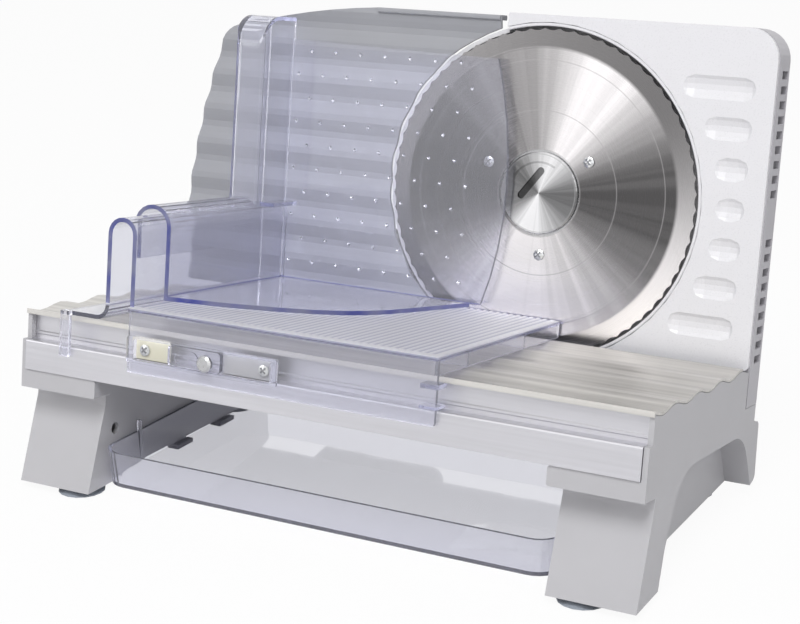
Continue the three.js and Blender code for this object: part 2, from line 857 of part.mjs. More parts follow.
const switchInset = 17;
const switchX = halfWidth - switchInset;
const switchUp = 70;
const switchRadius = 9;
const lockUp = 44;
const lockRadius = 6;
const glandInset = 16;
const glandX = motorHouseRight - glandInset;
const glandDrop = 70;
const glandRadius = 7;
const glandBore = 3.5;
function rearCover() {
  const front = panelBack + clearance;
  const discBehindBowl = bowlDepth + wall + clearance;
  const discRadius = gaugeCircle - 3 * clearance;
  const aboutAxis = (profile) => turnedAlongY(profile, bladeOffset, 0, roundSides);
  const skirt = rectangle(front, coverBack, -skirtDrop, -coverBottomDrop + wall);
  const shell = join(
    along("y", coverOutline(0), front, coverBack),
    aboutAxis(cylinderProfile(discRadius, discBehindBowl, coverBack)),
    motorHouse(0, coverBack - wall),
    along("x", skirt, coverRight - cheekWall, coverRight),
  );
  const inside = join(
    along("y", coverOutline(wall), front - overrun, coverBack - wall),
    aboutAxis(cylinderProfile(discRadius - wall, front, coverBack - wall)),
    aboutAxis(cylinderProfile(bowlOuter + clearance, front - overrun, discBehindBowl)),
    motorHouse(wall, discBehindBowl),
  );
  const holes = [
    ...coverScrews.map(([across, up]) =>
      turnedAlongY(
        cylinderProfile(screwShank + 2 * clearance, coverBack - 2 * wall, coverBack + overrun),
        across,
        up,
        pinSides,
      ),
    ),
    turnedAlongY(
      cylinderProfile(switchRadius + clearance, coverBack - 2 * wall, coverBack + overrun),
      switchX,
      switchUp,
      turnedSides,
    ),
    turnedAlongY(
      cylinderProfile(lockRadius + clearance, coverBack - 2 * wall, coverBack + overrun),
      switchX,
      lockUp,
      turnedSides,
    ),
    turnedAlongY(
      cylinderProfile(glandRadius + clearance, motorHouseBack - 2 * wall, motorHouseBack + overrun),
      glandX,
      -glandDrop,
      turnedSides,
    ),
  ];
  return cut(shell, inside, ...holes, ...sideLouvres(), ...motorVents());
}
piece("rear_cover", rearCover(), finishes.panel);

// Screws that hold the cover to the panel's posts.
coverScrews.forEach(([across, up], k) => {
  const profile = [
    [0, coverBack - 5 * wall],
    [screwShank, coverBack - 5 * wall],
    [screwShank, coverBack + clearance],
    [screwHead, coverBack + clearance],
    [screwHead - clearance, coverBack + wall],
    [0, coverBack + wall],
  ];
  piece("cover_screw_" + (k + 1), turnedAlongY(profile, across, up, pinSides), finishes.steel);
});

const gland = [
  [glandBore, motorHouseBack - 3 * wall],
  [glandRadius, motorHouseBack - 3 * wall],
  [glandRadius, motorHouseBack + clearance],
  [glandRadius + wall, motorHouseBack + clearance],
  [glandRadius + wall, motorHouseBack + wall],
  [glandRadius - wall / 2, motorHouseBack + 3 * wall],
  [glandBore, motorHouseBack + 3 * wall],
];
piece("cord_gland", turnedAlongY(gland, glandX, -glandDrop, turnedSides), finishes.black);

// Push buttons in the cover's back, each with a collar that keeps it in.
const switchTravel = 3;
const buttonEdge = 1;
function pushButton(radius, proud) {
  return [
    [0, coverBack - 3 * wall],
    [radius + wall, coverBack - 3 * wall],
    [radius + wall, coverBack - 2 * wall + wall / 2],
    [radius, coverBack - 2 * wall + wall / 2],
    [radius, coverBack + proud - buttonEdge],
    [radius - buttonEdge, coverBack + proud],
    [0, coverBack + proud],
  ];
}
const buttons = [["power_button", switchRadius, switchUp], ["safety_button", lockRadius, lockUp]];
buttons.forEach(([name, radius, up]) => {
  const profile = pushButton(radius, switchTravel + buttonEdge);
  piece(name, turnedAlongY(profile, switchX, up, turnedSides), finishes.black);
});

// Microswitches fixed behind the panel, one under each button.
const switchBody = [panelBack + clearance, coverBack - 3 * wall - switchTravel - 2 * clearance];
const switchBodyHalf = 8;
[["power_switch", switchUp], ["safety_switch", lockUp]].forEach(([name, up]) => {
  const sides = [switchX - switchBodyHalf, switchX + switchBodyHalf];
  piece(name, box(...sides, ...switchBody, up - switchBodyHalf, up + switchBodyHalf), finishes.black);
});

// Drive: an axle through the bowl, a helical wheel behind it and a two-start worm on the motor's shaft.
const wheelY = wheelFront + wheelWidth / 2;
const wormDrop = wheelPitchRadius + wormPitchRadius;
const wormLead = (2 * Math.PI * wheelPitchRadius * wormStarts) / wheelTeeth;
const helix = Math.atan(wormLead / (2 * Math.PI * wormPitchRadius));
const meshGap = 0.45;
const wheelOuter = wheelPitchRadius + toothDepth / 2 - meshGap / 2;
const wheelRoot = wheelPitchRadius - toothDepth / 2 - meshGap / 2;
const wormOuter = wormPitchRadius + toothDepth / 2 - meshGap;
const wormRoot = wormPitchRadius - toothDepth / 2 - meshGap;
const toothShares = [0.11, 0.31, 0.69, 0.89]; // of a tooth's pitch, from the middle of its tip

function toothedRing(teeth, outer, root, turn, place) {
  const points = [];
  for (let tooth = 0; tooth < teeth; tooth++)
    toothShares.forEach((share, k) => {
      const angle = turn + ((tooth + share) * 2 * Math.PI) / teeth;
      points.push(place(k === 0 || k === 3 ? outer : root, angle));
    });
  return points;
}

function wormWheel() {
  const quarterTurn = Math.PI / 2;
  const half = Math.PI / wheelTeeth;
  const ends = [-1, 1].map((end) => {
    const twist = (-end * (wheelWidth / 2) * Math.tan(helix)) / wheelPitchRadius;
    const place = (radius, angle) =>
      new THREE.Vector3(radius * Math.cos(angle), wheelY + (end * wheelWidth) / 2, radius * Math.sin(angle));
    return toothedRing(wheelTeeth, wheelOuter, wheelRoot, -quarterTurn + half + twist, place);
  });
  const wheel = solid(geometryOf(lofted(ends)).translate(bladeOffset, 0, 0));
  const bore = cylinderProfile(axleRadius + clearance, wheelFront - overrun, wheelFront + wheelWidth + overrun);
  return cut(wheel, turnedAlongY(bore, bladeOffset, 0, turnedSides));
}
piece("worm_wheel", wormWheel(), finishes.gear);

const axleFront = 5.3;
const axleBack = 56;
const clipWidth = 4;
piece(
  "blade_axle",
  turnedAlongY(cylinderProfile(axleRadius, axleFront, axleBack), bladeOffset, 0, turnedSides),
  finishes.steel,
);
piece(
  "axle_clip",
  turnedAlongY(
    tubeProfile(axleRadius + clearance, axleRadius + clipWidth, wheelFront + wheelWidth + clearance, axleBack - wall),
    bladeOffset,
    0,
    turnedSides,
  ),
  finishes.steel,
);
piece(
  "axle_bush",
  turnedAlongY(
    tubeProfile(axleRadius + clearance, bushRadius - clearance, bowlDepth, bossBack + clearance),
    bladeOffset,
    0,
    turnedSides,
  ),
  finishes.steel,
);
piece(
  "wheel_spacer",
  turnedAlongY(
    tubeProfile(axleRadius + clearance, bushRadius - wall, bossBack + 2 * clearance, wheelFront - clearance),
    bladeOffset,
    0,
    turnedSides,
  ),
  finishes.gear,
);

const wormHalf = 12;
const motorRight = motorLeft + motorLength;
const motorEdge = 2;
const fanWidth = 5;
const fanRadius = 20;
const fanHub = 6;
const fanSheet = 1.2;
const vaneLength = 15;
const vaneMiddle = 12;
const vaneCount = 8;
const shaftToAxis = 44;
const shaftLeft = bladeOffset - shaftToAxis;
const fanToMotor = 3;
const fanLeft = motorRight + fanToMotor;
const threadSteps = 12; // rings of points in one turn of the thread
function motorRotor() {
  const slices = Math.ceil((2 * wormHalf * threadSteps) / wormLead);
  const rings = Array.from({ length: slices + 1 }, (_, k) => {
    const offset = -wormHalf + (2 * wormHalf * k) / slices;
    const middle = new THREE.Vector3(bladeOffset + offset, wheelY, -wormDrop);
    const place = (radius, angle) =>
      new THREE.Vector3(0, radius * Math.cos(angle), radius * Math.sin(angle)).add(middle);
    const turn = Math.PI / 2 + (2 * Math.PI * offset) / wormLead;
    return toothedRing(wormStarts, wormOuter, wormRoot, turn, place);
  });
  const shaft = cylinderProfile(shaftRadius, shaftLeft, fanLeft + fanWidth + fanSheet);
  return join(lofted(rings), turnedAlongX(shaft, wheelY, -wormDrop, turnedSides));
}
piece("motor_rotor", motorRotor(), finishes.steel);

const bearingBore = shaftRadius + clearance;
function motorCan() {
  const profile = [
    [bearingBore, motorLeft],
    [motorRadius - motorEdge, motorLeft],
    [motorRadius, motorLeft + motorEdge],
    [motorRadius, motorRight - motorEdge],
    [motorRadius - motorEdge, motorRight],
    [bearingBore, motorRight],
  ];
  return turnedAlongX(profile, wheelY, -wormDrop, turnedSides);
}
piece("motor", motorCan(), finishes.steel);

function coolingFan() {
  const hubProfile = tubeProfile(bearingBore, fanHub, fanLeft, fanLeft + fanWidth);
  const plateProfile = tubeProfile(bearingBore, fanRadius, fanLeft, fanLeft + fanSheet);
  const [hub, plate] = [hubProfile, plateProfile].map((profile) =>
    turnedAlongX(profile, wheelY, -wormDrop, turnedSides),
  );
  const vane = new THREE.BoxGeometry(fanWidth, vaneLength, fanSheet);
  vane.translate(fanLeft + fanWidth / 2, vaneMiddle, 0);
  const vanes = Array.from({ length: vaneCount }, (_, k) =>
    solid(vane.clone().rotateX((k * 2 * Math.PI) / vaneCount).translate(0, wheelY, -wormDrop)),
  );
  return join(hub, plate, ...vanes);
}
piece("cooling_fan", coolingFan(), finishes.gear);

// Gear frame: screwed behind the bowl, it carries the motor's face and the far end of the worm shaft.
const frameFront = bowlDepth + wall + clearance;
const frameSheet = 3;
const framePastMotor = 2;
const frameAboveShaft = 17;
const postToAxis = 39;
const postLeft = bladeOffset - postToAxis;
const postHalf = 8;
function gearFrame() {
  const faceLeft = motorLeft - clearance - frameSheet;
  const low = -wormDrop - motorRadius - framePastMotor;
  const top = -wormDrop + frameAboveShaft;
  const face = box(faceLeft, motorLeft - clearance, frameFront, wheelY + motorRadius, low, top);
  const post = box(
    postLeft,
    postLeft + frameSheet,
    frameFront,
    wheelY + postHalf,
    -wormDrop - postHalf,
    -wormDrop + postHalf,
  );
  const plate = box(postLeft, motorLeft - clearance, frameFront, frameFront + frameSheet, low, top);
  const bore = cylinderProfile(bearingBore, postLeft - overrun, motorLeft + overrun);
  return cut(join(plate, face, post), turnedAlongX(bore, wheelY, -wormDrop, turnedSides));
}
piece("gear_frame", gearFrame(), finishes.steel);

// Blade: a thin dished disc with a bevelled, scalloped edge.
const bladeBack = bladeSheet - bladeFace;
const bladeEdge = 1; // disc left past the teeth before they are cut
const bladePin = 1.6;
const bladePinHead = 3.4;
const bladePinProud = 1.6;
const toothSteps = 3;
const scallopShape = 0.8;
const bladeScrewAngles = [35, 155, 275].map(THREE.MathUtils.degToRad);
const bladeScrewPlaces = bladeScrewAngles.map((angle) => [
  bladeOffset + screwCircle * Math.cos(angle),
  screwCircle * Math.sin(angle),
]);
function blade() {
  const edge = bladeRadius + bladeEdge;
  const body = [
    [hubHole, -bladeFace],
    [bevelRadius, -bladeFace],
    [edge, 0],
    [edge, bladeBack],
    [hubHole, bladeBack],
  ];
  const scallops = [];
  for (let k = 0; k < toothCount * toothSteps; k++) {
    const phase = (k % toothSteps) / toothSteps;
    const radius = bladeRadius - scallop * Math.sin(Math.PI * phase) ** scallopShape;
    const angle = (2 * Math.PI * k) / (toothCount * toothSteps);
    scallops.push(new THREE.Vector2(bladeOffset + radius * Math.cos(angle), radius * Math.sin(angle)));
  }
  const cookie = along("y", new THREE.Shape(scallops), -overrun, overrun);
  const bore = cylinderProfile(bladePin + 2 * clearance, -overrun, overrun);
  const holes = bladeScrewPlaces.map(([across, up]) => turnedAlongY(bore, across, up, pinSides));
  return cut(turnedAlongY(body, bladeOffset, 0, toothCount).intersect(cookie), ...holes);
}
piece("blade", blade(), finishes.blade);

// Blade hub: the carrier behind the blade, seated on the axle's end.
const hubFront = bladeBack + clearance;
const hubBack = axleFront;
const capStem = 8;
function bladeHub() {
  const profile = [
    [capStem + clearance, hubFront],
    [hubRadius, hubFront],
    [hubRadius, hubFront + wall],
    [bushRadius + wall, hubBack],
    [bushRadius, hubBack + wall],
    [axleRadius + clearance, hubBack + wall],
    [axleRadius + clearance, hubBack - clearance],
    [capStem + clearance, hubBack - clearance],
  ];
  const bore = cylinderProfile(bladePin + clearance, hubFront - overrun, hubBack + overrun);
  const holes = bladeScrewPlaces.map(([across, up]) => turnedAlongY(bore, across, up, pinSides));
  return cut(turnedAlongY(profile, bladeOffset, 0, turnedSides), ...holes);
}
piece("blade_hub", bladeHub(), finishes.gear);

bladeScrewPlaces.forEach(([across, up], k) => {
  const profile = [
    [0, -bladeFace - bladePinProud],
    [bladePinHead / 2, -bladeFace - bladePinProud],
    [bladePinHead, -bladeFace - 2 * clearance],
    [bladePinHead, -bladeFace - clearance],
    [bladePin, -bladeFace - clearance],
    [bladePin, hubBack - clearance],
    [0, hubBack - clearance],
  ];
  piece("blade_screw_" + (k + 1), turnedAlongY(profile, across, up, pinSides), finishes.steel);
});

// Hub lock: the quarter-turn cap that holds the blade on its axle, with a coin slot and a plain arc groove.
const capProud = 0.6;
const capFront = -bladeFace - capProud;
const capBack = hubFront - 2 * clearance;
const coinSlot = [[-10.9, -2.1], [0.5, 13]];
const coinSlotWidth = 4.4;
const coinSlotDepth = 0.9;
const grooveInset = 6;
const grooveHalf = 0.6;
const grooveDepth = 0.4;
const grooveSteps = 10;
function hubLock() {
  const body = [
    [0, capFront],
    [capRadius - capProud, capFront],
    [capRadius, capFront + capProud],
    [capRadius, capBack],
    [capStem, capBack],
    [capStem, hubBack - 2 * clearance],
    [0, hubBack - 2 * clearance],
  ];
  const [from, to] = coinSlot.map(([across, up]) => new THREE.Vector2(across, up));
  const middle = from.clone().add(to).divideScalar(2);
  const length = from.distanceTo(to) + coinSlotWidth;
  const half = coinSlotWidth / 2;
  const slotShape = rectangle(-length / 2, length / 2, -half, half, half, 4);
  const slot = along("y", slotShape, capFront - overrun, capFront + coinSlotDepth);
  const tilt = -to.clone().sub(from).angle();
  const placed = solid(geometryOf(slot).rotateY(tilt).translate(bladeOffset + middle.x, 0, middle.y));
  const grooveRadius = capRadius - grooveInset;
  const arc = [
    ...circlePoints(grooveRadius + grooveHalf, grooveSteps, bladeOffset, 0, Math.PI / 3, Math.PI / 2),
    ...circlePoints(grooveRadius - grooveHalf, grooveSteps, bladeOffset, 0, (Math.PI * 5) / 6, -Math.PI / 2),
  ];
  const groove = along("y", new THREE.Shape(arc), capFront - overrun, capFront + grooveDepth);
  return cut(turnedAlongY(body, bladeOffset, 0, roundSides), placed, groove);
}
piece("hub_lock", hubLock(), finishes.steel);

// Thickness gauge: a pressed plate with grooves across it, a grip along its top and a round gap for the blade.
const gaugeSideInset = 1;
const gaugeBulge = 3;
const gaugeBulgeUp = 16.7;
const gaugeNeck = 20; // the left side's lean up to its neck
const gaugeNeckUp = 70.7;
const gaugeShoulder = 34.5;
const gaugeShoulderDrop = 15.7; // below the grip
function gaugeOutline() {
  const shape = new THREE.Shape();
  const left = -halfWidth + gaugeSideInset;
  const shoulder = left + gaugeShoulder;
  const shoulderUp = gripTop - gaugeShoulderDrop;
  shape.moveTo(left, -gaugeBottomDrop);
  shape.lineTo(left, -gaugeBottomDrop / 2);
  shape.quadraticCurveTo(left + gaugeBulge, gaugeBulgeUp, left + gaugeNeck, gaugeNeckUp);
  shape.quadraticCurveTo(left + gaugeNeck + gaugeBulge, shoulderUp - clearance, shoulder, shoulderUp);
  shape.quadraticCurveTo((shoulder + gripLeft) / 2, gripTop - gaugeBulge, gripLeft, gripTop);
  shape.lineTo(gripRight, gripTop);
  const from = Math.PI - Math.acos((bladeOffset - gripRight) / gaugeCircle);
  const to = Math.PI + Math.asin(gaugeBottomDrop / gaugeCircle);
  const gap = circlePoints(gaugeCircle, roundSides / 2, bladeOffset, 0, from, to - from);
  gap.forEach((point) => shape.lineTo(point.x, point.y));
  return new THREE.Shape(shape.getPoints(6));
}

const gaugeWaveSteps = 6;
function gaugePlate() {
  const step = gaugePitch / gaugeWaveSteps;
  const rows = Math.ceil((gripTop + gaugeBottomDrop) / step) + 2;
  const front = Array.from({ length: rows }, (_, k) => {
    const up = -gaugeBottomDrop - step + step * k;
    const wave = 1 + Math.cos((2 * Math.PI * (up - gaugeGroove)) / gaugePitch);
    return [gaugeWave * wave, up];
  });
  const rear = front.map(([back, up]) => [back + gaugeSheet, up]).reverse();
  const left = -halfWidth - overrun;
  const wavy = along("x", outline([...front, ...rear]), left, bladeOffset);
  const sheetBack = 2 * gaugeWave + gaugeSheet;
  const plate = wavy.intersect(along("y", gaugeOutline(), -overrun, sheetBack + overrun));
  const ledge = rectangle(-gripHeight / 2, gripDepth, gripTop - gripHeight, gripTop, 1, 3);
  const grip = along("x", ledge, gripLeft, gripRight - clearance);
  return join(plate, grip, ...gaugeBosses(sheetBack));
}

// The plate's tubes: one takes the dial's screw, two hold the guide rods.
const guidePlaces = [dialX - guideSpacing / 2, dialX + guideSpacing / 2];
const screwTube = 9;
const spindleRadius = 5;
const bracketFront = baseBack + 2 * clearance;
const bracketDepth = 22;
const bracketBack = bracketFront + bracketDepth;
const tubeBack = bracketBack - wall - gaugeTravel - sheet;
const socketBack = bracketFront - gaugeTravel - clearance;
function gaugeBosses(sheetBack) {
  const root = gaugeSheet + clearance / 2;
  const nut = [
    [0, root],
    [screwTube, root],
    [screwTube, tubeBack],
    [spindleRadius + clearance, tubeBack],
    [spindleRadius + clearance, tubeBack - gaugeTravel - wall],
    [0, tubeBack - gaugeTravel - wall],
  ];
  const socket = [
    [0, root],
    [guideRadius + wall, root],
    [guideRadius + wall, socketBack],
    [guideRadius + clearance, socketBack],
    [guideRadius + clearance, sheetBack + clearance],
    [0, sheetBack + clearance],
  ];
  return [
    turnedAlongY(nut, dialX, -gaugeAxisDrop, turnedSides),
    ...guidePlaces.map((across) => turnedAlongY(socket, across, -gaugeAxisDrop, turnedSides)),
  ];
}
piece("gauge_plate", gaugePlate(), finishes.gauge);

const gaugeSheetBack = 2 * gaugeWave + gaugeSheet;
guidePlaces.forEach((across, k) => {
  const rod = cylinderProfile(guideRadius, gaugeSheetBack + 2 * clearance, bracketBack + wall);
  const name = "guide_rod_" + ["left", "right"][k];
  piece(name, turnedAlongY(rod, across, -gaugeAxisDrop, turnedSides), finishes.steel);
});

// Gauge bracket: hung on the pan's back wall, it guides the rods and bears the dial.
const bracketHalf = 46;
const bracketTop = -40;
const bracketAboveBand = 4;
const bracketBottom = -bandBottomDrop + bracketAboveBand;
const bracketCorner = 8;
function gaugeBracket() {
  const outside = rectangle(
    dialX - bracketHalf,
    dialX + bracketHalf,
    bracketBottom,
    bracketTop,
    bracketCorner,
  );
  const inside = rectangle(
    dialX - bracketHalf + wall,
    dialX + bracketHalf - wall,
    bracketBottom - overrun,
    bracketTop - wall,
    bracketCorner - wall,
  );
  const shell = along("y", outside, bracketFront, bracketBack);
  const hollow = cut(shell, along("y", inside, bracketFront + wall, bracketBack - wall));
  const through = [bracketFront - overrun, bracketBack + overrun];
  const turned = (profile, across) => turnedAlongY(profile, across, -gaugeAxisDrop, turnedSides);
  const tube = cylinderProfile(guideRadius + wall + sheet, bracketFront, bracketBack);
  const bore = cylinderProfile(guideRadius + clearance, ...through);
  const nutWay = cylinderProfile(screwTube + clearance, bracketFront - overrun, bracketFront + 2 * wall);
  const spindleWay = cylinderProfile(spindleRadius + clearance, ...through);
  return cut(
    join(hollow, ...guidePlaces.map((across) => turned(tube, across))),
    ...guidePlaces.map((across) => turned(bore, across)),
    turned(nutWay, dialX),
    turned(spindleWay, dialX),
  );
}
piece("gauge_bracket", gaugeBracket(), finishes.cheek);

// Dial: a fluted knob behind the bracket, with the screw that draws the gauge back.
const fluteCount = 18;
const fluteDepth = 1.2;
const dialDepth = 16;
const dishDepth = 4;
const dishEdge = 6;
const pointerHalf = 2;
function thicknessDial() {
  const front = bracketBack + clearance;
  const back = front + dialDepth;
  const rim = Array.from({ length: fluteCount * 2 }, (_, k) => {
    const radius = dialRadius - (k % 2) * fluteDepth;
    const angle = (Math.PI * k) / fluteCount;
    return new THREE.Vector2(dialX + radius * Math.cos(angle), -gaugeAxisDrop + radius * Math.sin(angle));
  });
  const knob = along("y", new THREE.Shape(rim), front, back);
  const dishProfile = [
    [0, back - dishDepth],
    [dialRadius - dishEdge - wall, back - dishDepth],
    [dialRadius - dishEdge, back + clearance],
    [0, back + clearance],
  ];
  const dish = turnedAlongY(dishProfile, dialX, -gaugeAxisDrop, turnedSides);
  const spindle = cylinderProfile(spindleRadius, tubeBack - wall, front + wall);
  const pointer = box(
    dialX - pointerHalf,
    dialX + pointerHalf,
    back - dishDepth - clearance,
    back,
    -gaugeAxisDrop - dialRadius + wall,
    -gaugeAxisDrop + dialRadius - wall,
  );
  return join(cut(knob, dish), turnedAlongY(spindle, dialX, -gaugeAxisDrop, turnedSides), pointer);
}
piece("thickness_dial", thicknessDial(), finishes.black);

// Food carriage: one clear moulding with a ribbed floor, a raised rail on its left and an apron in front.
const floorTop = -floorDrop;
const floorLeft = railX + railOuter;
const archSteps = 10;
function archLine(radius, top, leftBottom, rightBottom, fillet = 0) {
  const centre = top - radius;
  const arch = circlePoints(radius, archSteps, railX, centre, Math.PI, -Math.PI);
  const arc = arch.map((point) => [point.x, point.y]);
  return [[railX - radius, leftBottom, fillet], ...arc, [railX + radius, rightBottom]];
}

function carriageRail() {
  const inner = railOuter - carriageSheet;
  const floorMiddle = floorTop - carriageSheet / 2;
  const flangeBottom = -flangeDrop - carriageSheet;
  const insideFillet = flangeFillet + carriageSheet;
  const outside = archLine(railOuter, -railTopDrop, -flangeDrop, floorMiddle, flangeFillet);
  const inside = archLine(inner, -railTopDrop - carriageSheet, flangeBottom, floorMiddle, insideFillet);
  const profile = [[flangeLeft, -flangeDrop], ...outside, ...inside.reverse(), [flangeLeft, flangeBottom]];
  return along("y", outline(profile), -bandReach, -carriageBackReach - carriageSheet);
}

function ribbedFloor() {
  const count = Math.floor((carriageRight - floorLeft - 2 * ribMargin) / ribPitch);
  const top = [];
  for (let k = 0; k <= count; k++) {
    const middle = floorLeft + ribMargin + ribPitch * k;
    top.push([middle - ribPitch / 4, floorTop - ribHeight], [middle, floorTop]);
  }
  const profile = [
    [floorLeft - carriageSheet, floorTop - carriageSheet],
    [carriageRight, floorTop - carriageSheet],
    [carriageRight, floorTop - ribHeight / 2],
    ...top.reverse(),
    [floorLeft - carriageSheet, floorTop - ribHeight / 2],
  ];
  return along("y", outline(profile), -carriageReach + ribMargin, -carriageBackReach);
}

// Latch window in the apron, with a raised frame round it.
const windowToRail = 12.85;
const windowLeft = railX + windowToRail;
const windowWidth = 88.9;
const windowRight = windowLeft + windowWidth;
const windowTop = -89;
const windowBottom = -101;
const windowCorner = 1.5;
const frameRim = 4;
const apronLeft = windowLeft - frameRim;
const latchFrameProud = 1.4;
const runnerHalf = 1.2;
const runnerPlaces = [125, 51.7];
const tabWidth = 6;
const tabPast = 2; // tab past the flange's left end
const tabLength = 26;
const ledgeLength = 10;
const upperLedgeTop = -87.3;
function carriage() {
  const front = -carriageReach;
  const apronBack = front + carriageSheet;
  const apronShape = rectangle(apronLeft, carriageRight, -apronBottomDrop, floorTop, windowCorner, 2);
  const apron = along("y", apronShape, front, apronBack);
  const frontFloor = box(
    floorLeft - carriageSheet,
    carriageRight,
    front + carriageSheet / 2,
    front + ribMargin + carriageSheet,
    floorTop - carriageSheet,
    floorTop,
  );
  const frame = along(
    "y",
    rectangle(
      windowLeft - frameRim,
      windowRight + frameRim,
      windowBottom - latchFrameProud,
      windowTop + latchFrameProud,
      windowCorner,
      3,
    ),
    front - latchFrameProud,
    front + carriageSheet / 2,
  );
  const window = along(
    "y",
    rectangle(windowLeft, windowRight, windowBottom, windowTop, windowCorner, coarseSteps),
    front - overrun,
    apronBack + overrun,
  );
  const tabLeft = flangeLeft - tabPast;
  const flangeBottom = -flangeDrop - carriageSheet;
  const tabEnds = [tabLeft, tabLeft + tabWidth];
  const leftTab = box(...tabEnds, front, -bandReach - clearance, -flangeDrop - tabLength, -flangeDrop);
  const tabBridge = box(...tabEnds, front, -bandReach + carriageSheet, flangeBottom, -flangeDrop);
  const ledgeBack = -recessReach - clearance;
  const ledgeEnds = [carriageRight - ledgeLength, carriageRight];
  const ledgeFront = front + carriageSheet / 2;
  const upperLedge = box(...ledgeEnds, ledgeFront, ledgeBack, upperLedgeTop - carriageSheet, upperLedgeTop);
  const lowerTop = -railRidgeDrop - 2 * railRidge - clearance;
  const lowerLedge = box(...ledgeEnds, ledgeFront, ledgeBack, -stepDrop + clearance, lowerTop);
  const runners = runnerPlaces.map((reach) => {
    const crest = deckHeight(-reach) + clearance + clearance / 3;
    return box(
      floorLeft - carriageSheet / 2,
      carriageRight - carriageSheet,
      -reach - runnerHalf,
      -reach + runnerHalf,
      crest,
      floorTop - carriageSheet / 2,
    );
  });
  const floor = join(frontFloor, ribbedFloor(), ...runners);
  return cut(join(apron, floor, carriageRail(), frame, leftTab, tabBridge, upperLedge, lowerLedge), window);
}
piece("carriage", carriage(), finishes.clear);

// Latch: two plates screwed behind the window, and a slide with a knob that locks the carriage.
const plateFront = -carriageReach + carriageSheet + clearance;
const latchSheet = 1.5;
const latchLap = 2; // plates past the window's ends
const plateBack = plateFront + latchSheet;
const latchUp = -95.2;
const latchScrewInset = 6;
const latchScrewHead = 3.2;
const latchScrewPin = 1.3;
const sliderFromLeft = 23.1;
const sliderWidth = 33.8;
const sliderLeft = windowLeft + sliderFromLeft;
const sliderRight = sliderLeft + sliderWidth;
function latchPlate(left, right) {
  const shape = rectangle(left, right, -stepDrop + clearance, windowTop + latchLap / 2, latchLap / 2, 2);
  return along("y", shape, plateFront, plateBack);
}
const latchScrews = [windowLeft + latchScrewInset, windowRight - latchScrewInset];
function screwHole(across) {
  const bore = cylinderProfile(latchScrewPin + clearance, plateFront - overrun, plateBack + overrun);
  return turnedAlongY(bore, across, latchUp, pinSides);
}
const leftPlate = latchPlate(windowLeft - latchLap, sliderLeft - clearance);
const rightStrip = latchPlate(sliderRight + clearance, windowRight + latchLap);
piece("latch_plate", cut(leftPlate, screwHole(latchScrews[0])), finishes.cream);
piece("latch_strip", cut(rightStrip, screwHole(latchScrews[1])), finishes.strip);
latchScrews.forEach((across, k) => {
  const profile = [
    [0, plateFront - latchSheet - clearance],
    [latchScrewHead / 2, plateFront - latchSheet],
    [latchScrewHead, plateFront - 3 * clearance],
    [latchScrewHead, plateFront - clearance],
    [latchScrewPin, plateFront - clearance],
    [latchScrewPin, plateBack + wall],
    [0, plateBack + wall],
  ];
  piece("latch_screw_" + (k + 1), turnedAlongY(profile, across, latchUp, turnedSides), finishes.steel);
});

const knobInset = 8.9;
const knobDrop = 0.8;
const knobX = sliderRight - knobInset;
const knobUp = latchUp - knobDrop;
const knobRadius = 4.7;
const knobPin = 1.7;
const knobEdge = 1.2;
const knobProud = 4.2;
const sliderCorner = 2;
const sliderProud = 1.8;
const ovalProud = 1;
const ovalFromLeft = 12.6;
const ovalHalf = 7.5;
const ovalHeight = 8.4;
function latchSlider() {
  const front = -carriageReach - sliderProud;
  const back = plateFront - clearance;
  const bar = along(
    "y",
    rectangle(
      sliderLeft,
      sliderRight,
      windowBottom + clearance,
      windowTop - clearance,
      sliderCorner,
      coarseSteps,
    ),
    front + ovalProud,
    back,
  );
  const ovalMiddle = sliderLeft + ovalFromLeft;
  const ovalRound = ovalHeight / 2;
  const oval = rectangle(
    ovalMiddle - ovalHalf,
    ovalMiddle + ovalHalf,
    latchUp - ovalRound,
    latchUp + ovalRound,
    ovalRound,
  );
  const pinHole = cylinderProfile(knobPin + clearance, front - overrun, back + overrun);
  const bore = turnedAlongY(pinHole, knobX, knobUp, pinSides);
  return cut(join(bar, along("y", oval, front, front + 2 * ovalProud)), bore);
}
piece("latch_slider", latchSlider(), finishes.clear);
const knobFront = -carriageReach - knobProud;
const knobBack = -carriageReach - sliderProud + ovalProud - 2 * clearance;
const knob = [
  [0, knobFront],
  [knobRadius - knobEdge, knobFront],
  [knobRadius, knobFront + knobEdge],
  [knobRadius, knobBack],
  [knobPin, knobBack],
  [knobPin, plateFront - clearance],
  [0, plateFront - clearance],
];
piece("latch_knob", turnedAlongY(knob, knobX, knobUp, turnedSides), finishes.steel);

// Food holder: one clear moulding that rides over the carriage's rail and presses the food with its studs.
const holderInner = railOuter + holderGap;
const holderOuter = holderInner + holderWall;
const holderRight = railX + holderOuter;
const plateFrontY = -plateReach;
const plateBackY = plateFrontY + wall;
const holderBackReach = 4;

// The plate's right edge bulges towards the blade; the shelf's edge sweeps from the plate's foot to the ridge.
const plateInset = 38.6;
const plateTopInset = 11;
const plateBottomInset = 11.2;
const plateRight = carriageRight - plateInset;
const plateTopRight = plateRight - plateTopInset;
const plateBottomRight = plateRight - plateBottomInset;
const plateBulge = 7.5;
const shelfInset = 18.9;
const shelfRight = plateRight - shelfInset;
const edgeSteps = 8;
function plateEdge() {
  const start = new THREE.Vector2(plateTopRight, plateTop - wall);
  const end = new THREE.Vector2(plateBottomRight, -shelfDrop);
  const low = new THREE.Vector2(plateRight + plateBulge / 2, -plateTop / 3);
  const high = new THREE.Vector2(plateRight + plateBulge / 2, plateTop / 3);
  const curve = new THREE.CubicBezierCurve(start, high, low, end);
  return curve.getPoints(edgeSteps).map((point) => [point.x, point.y]);
}

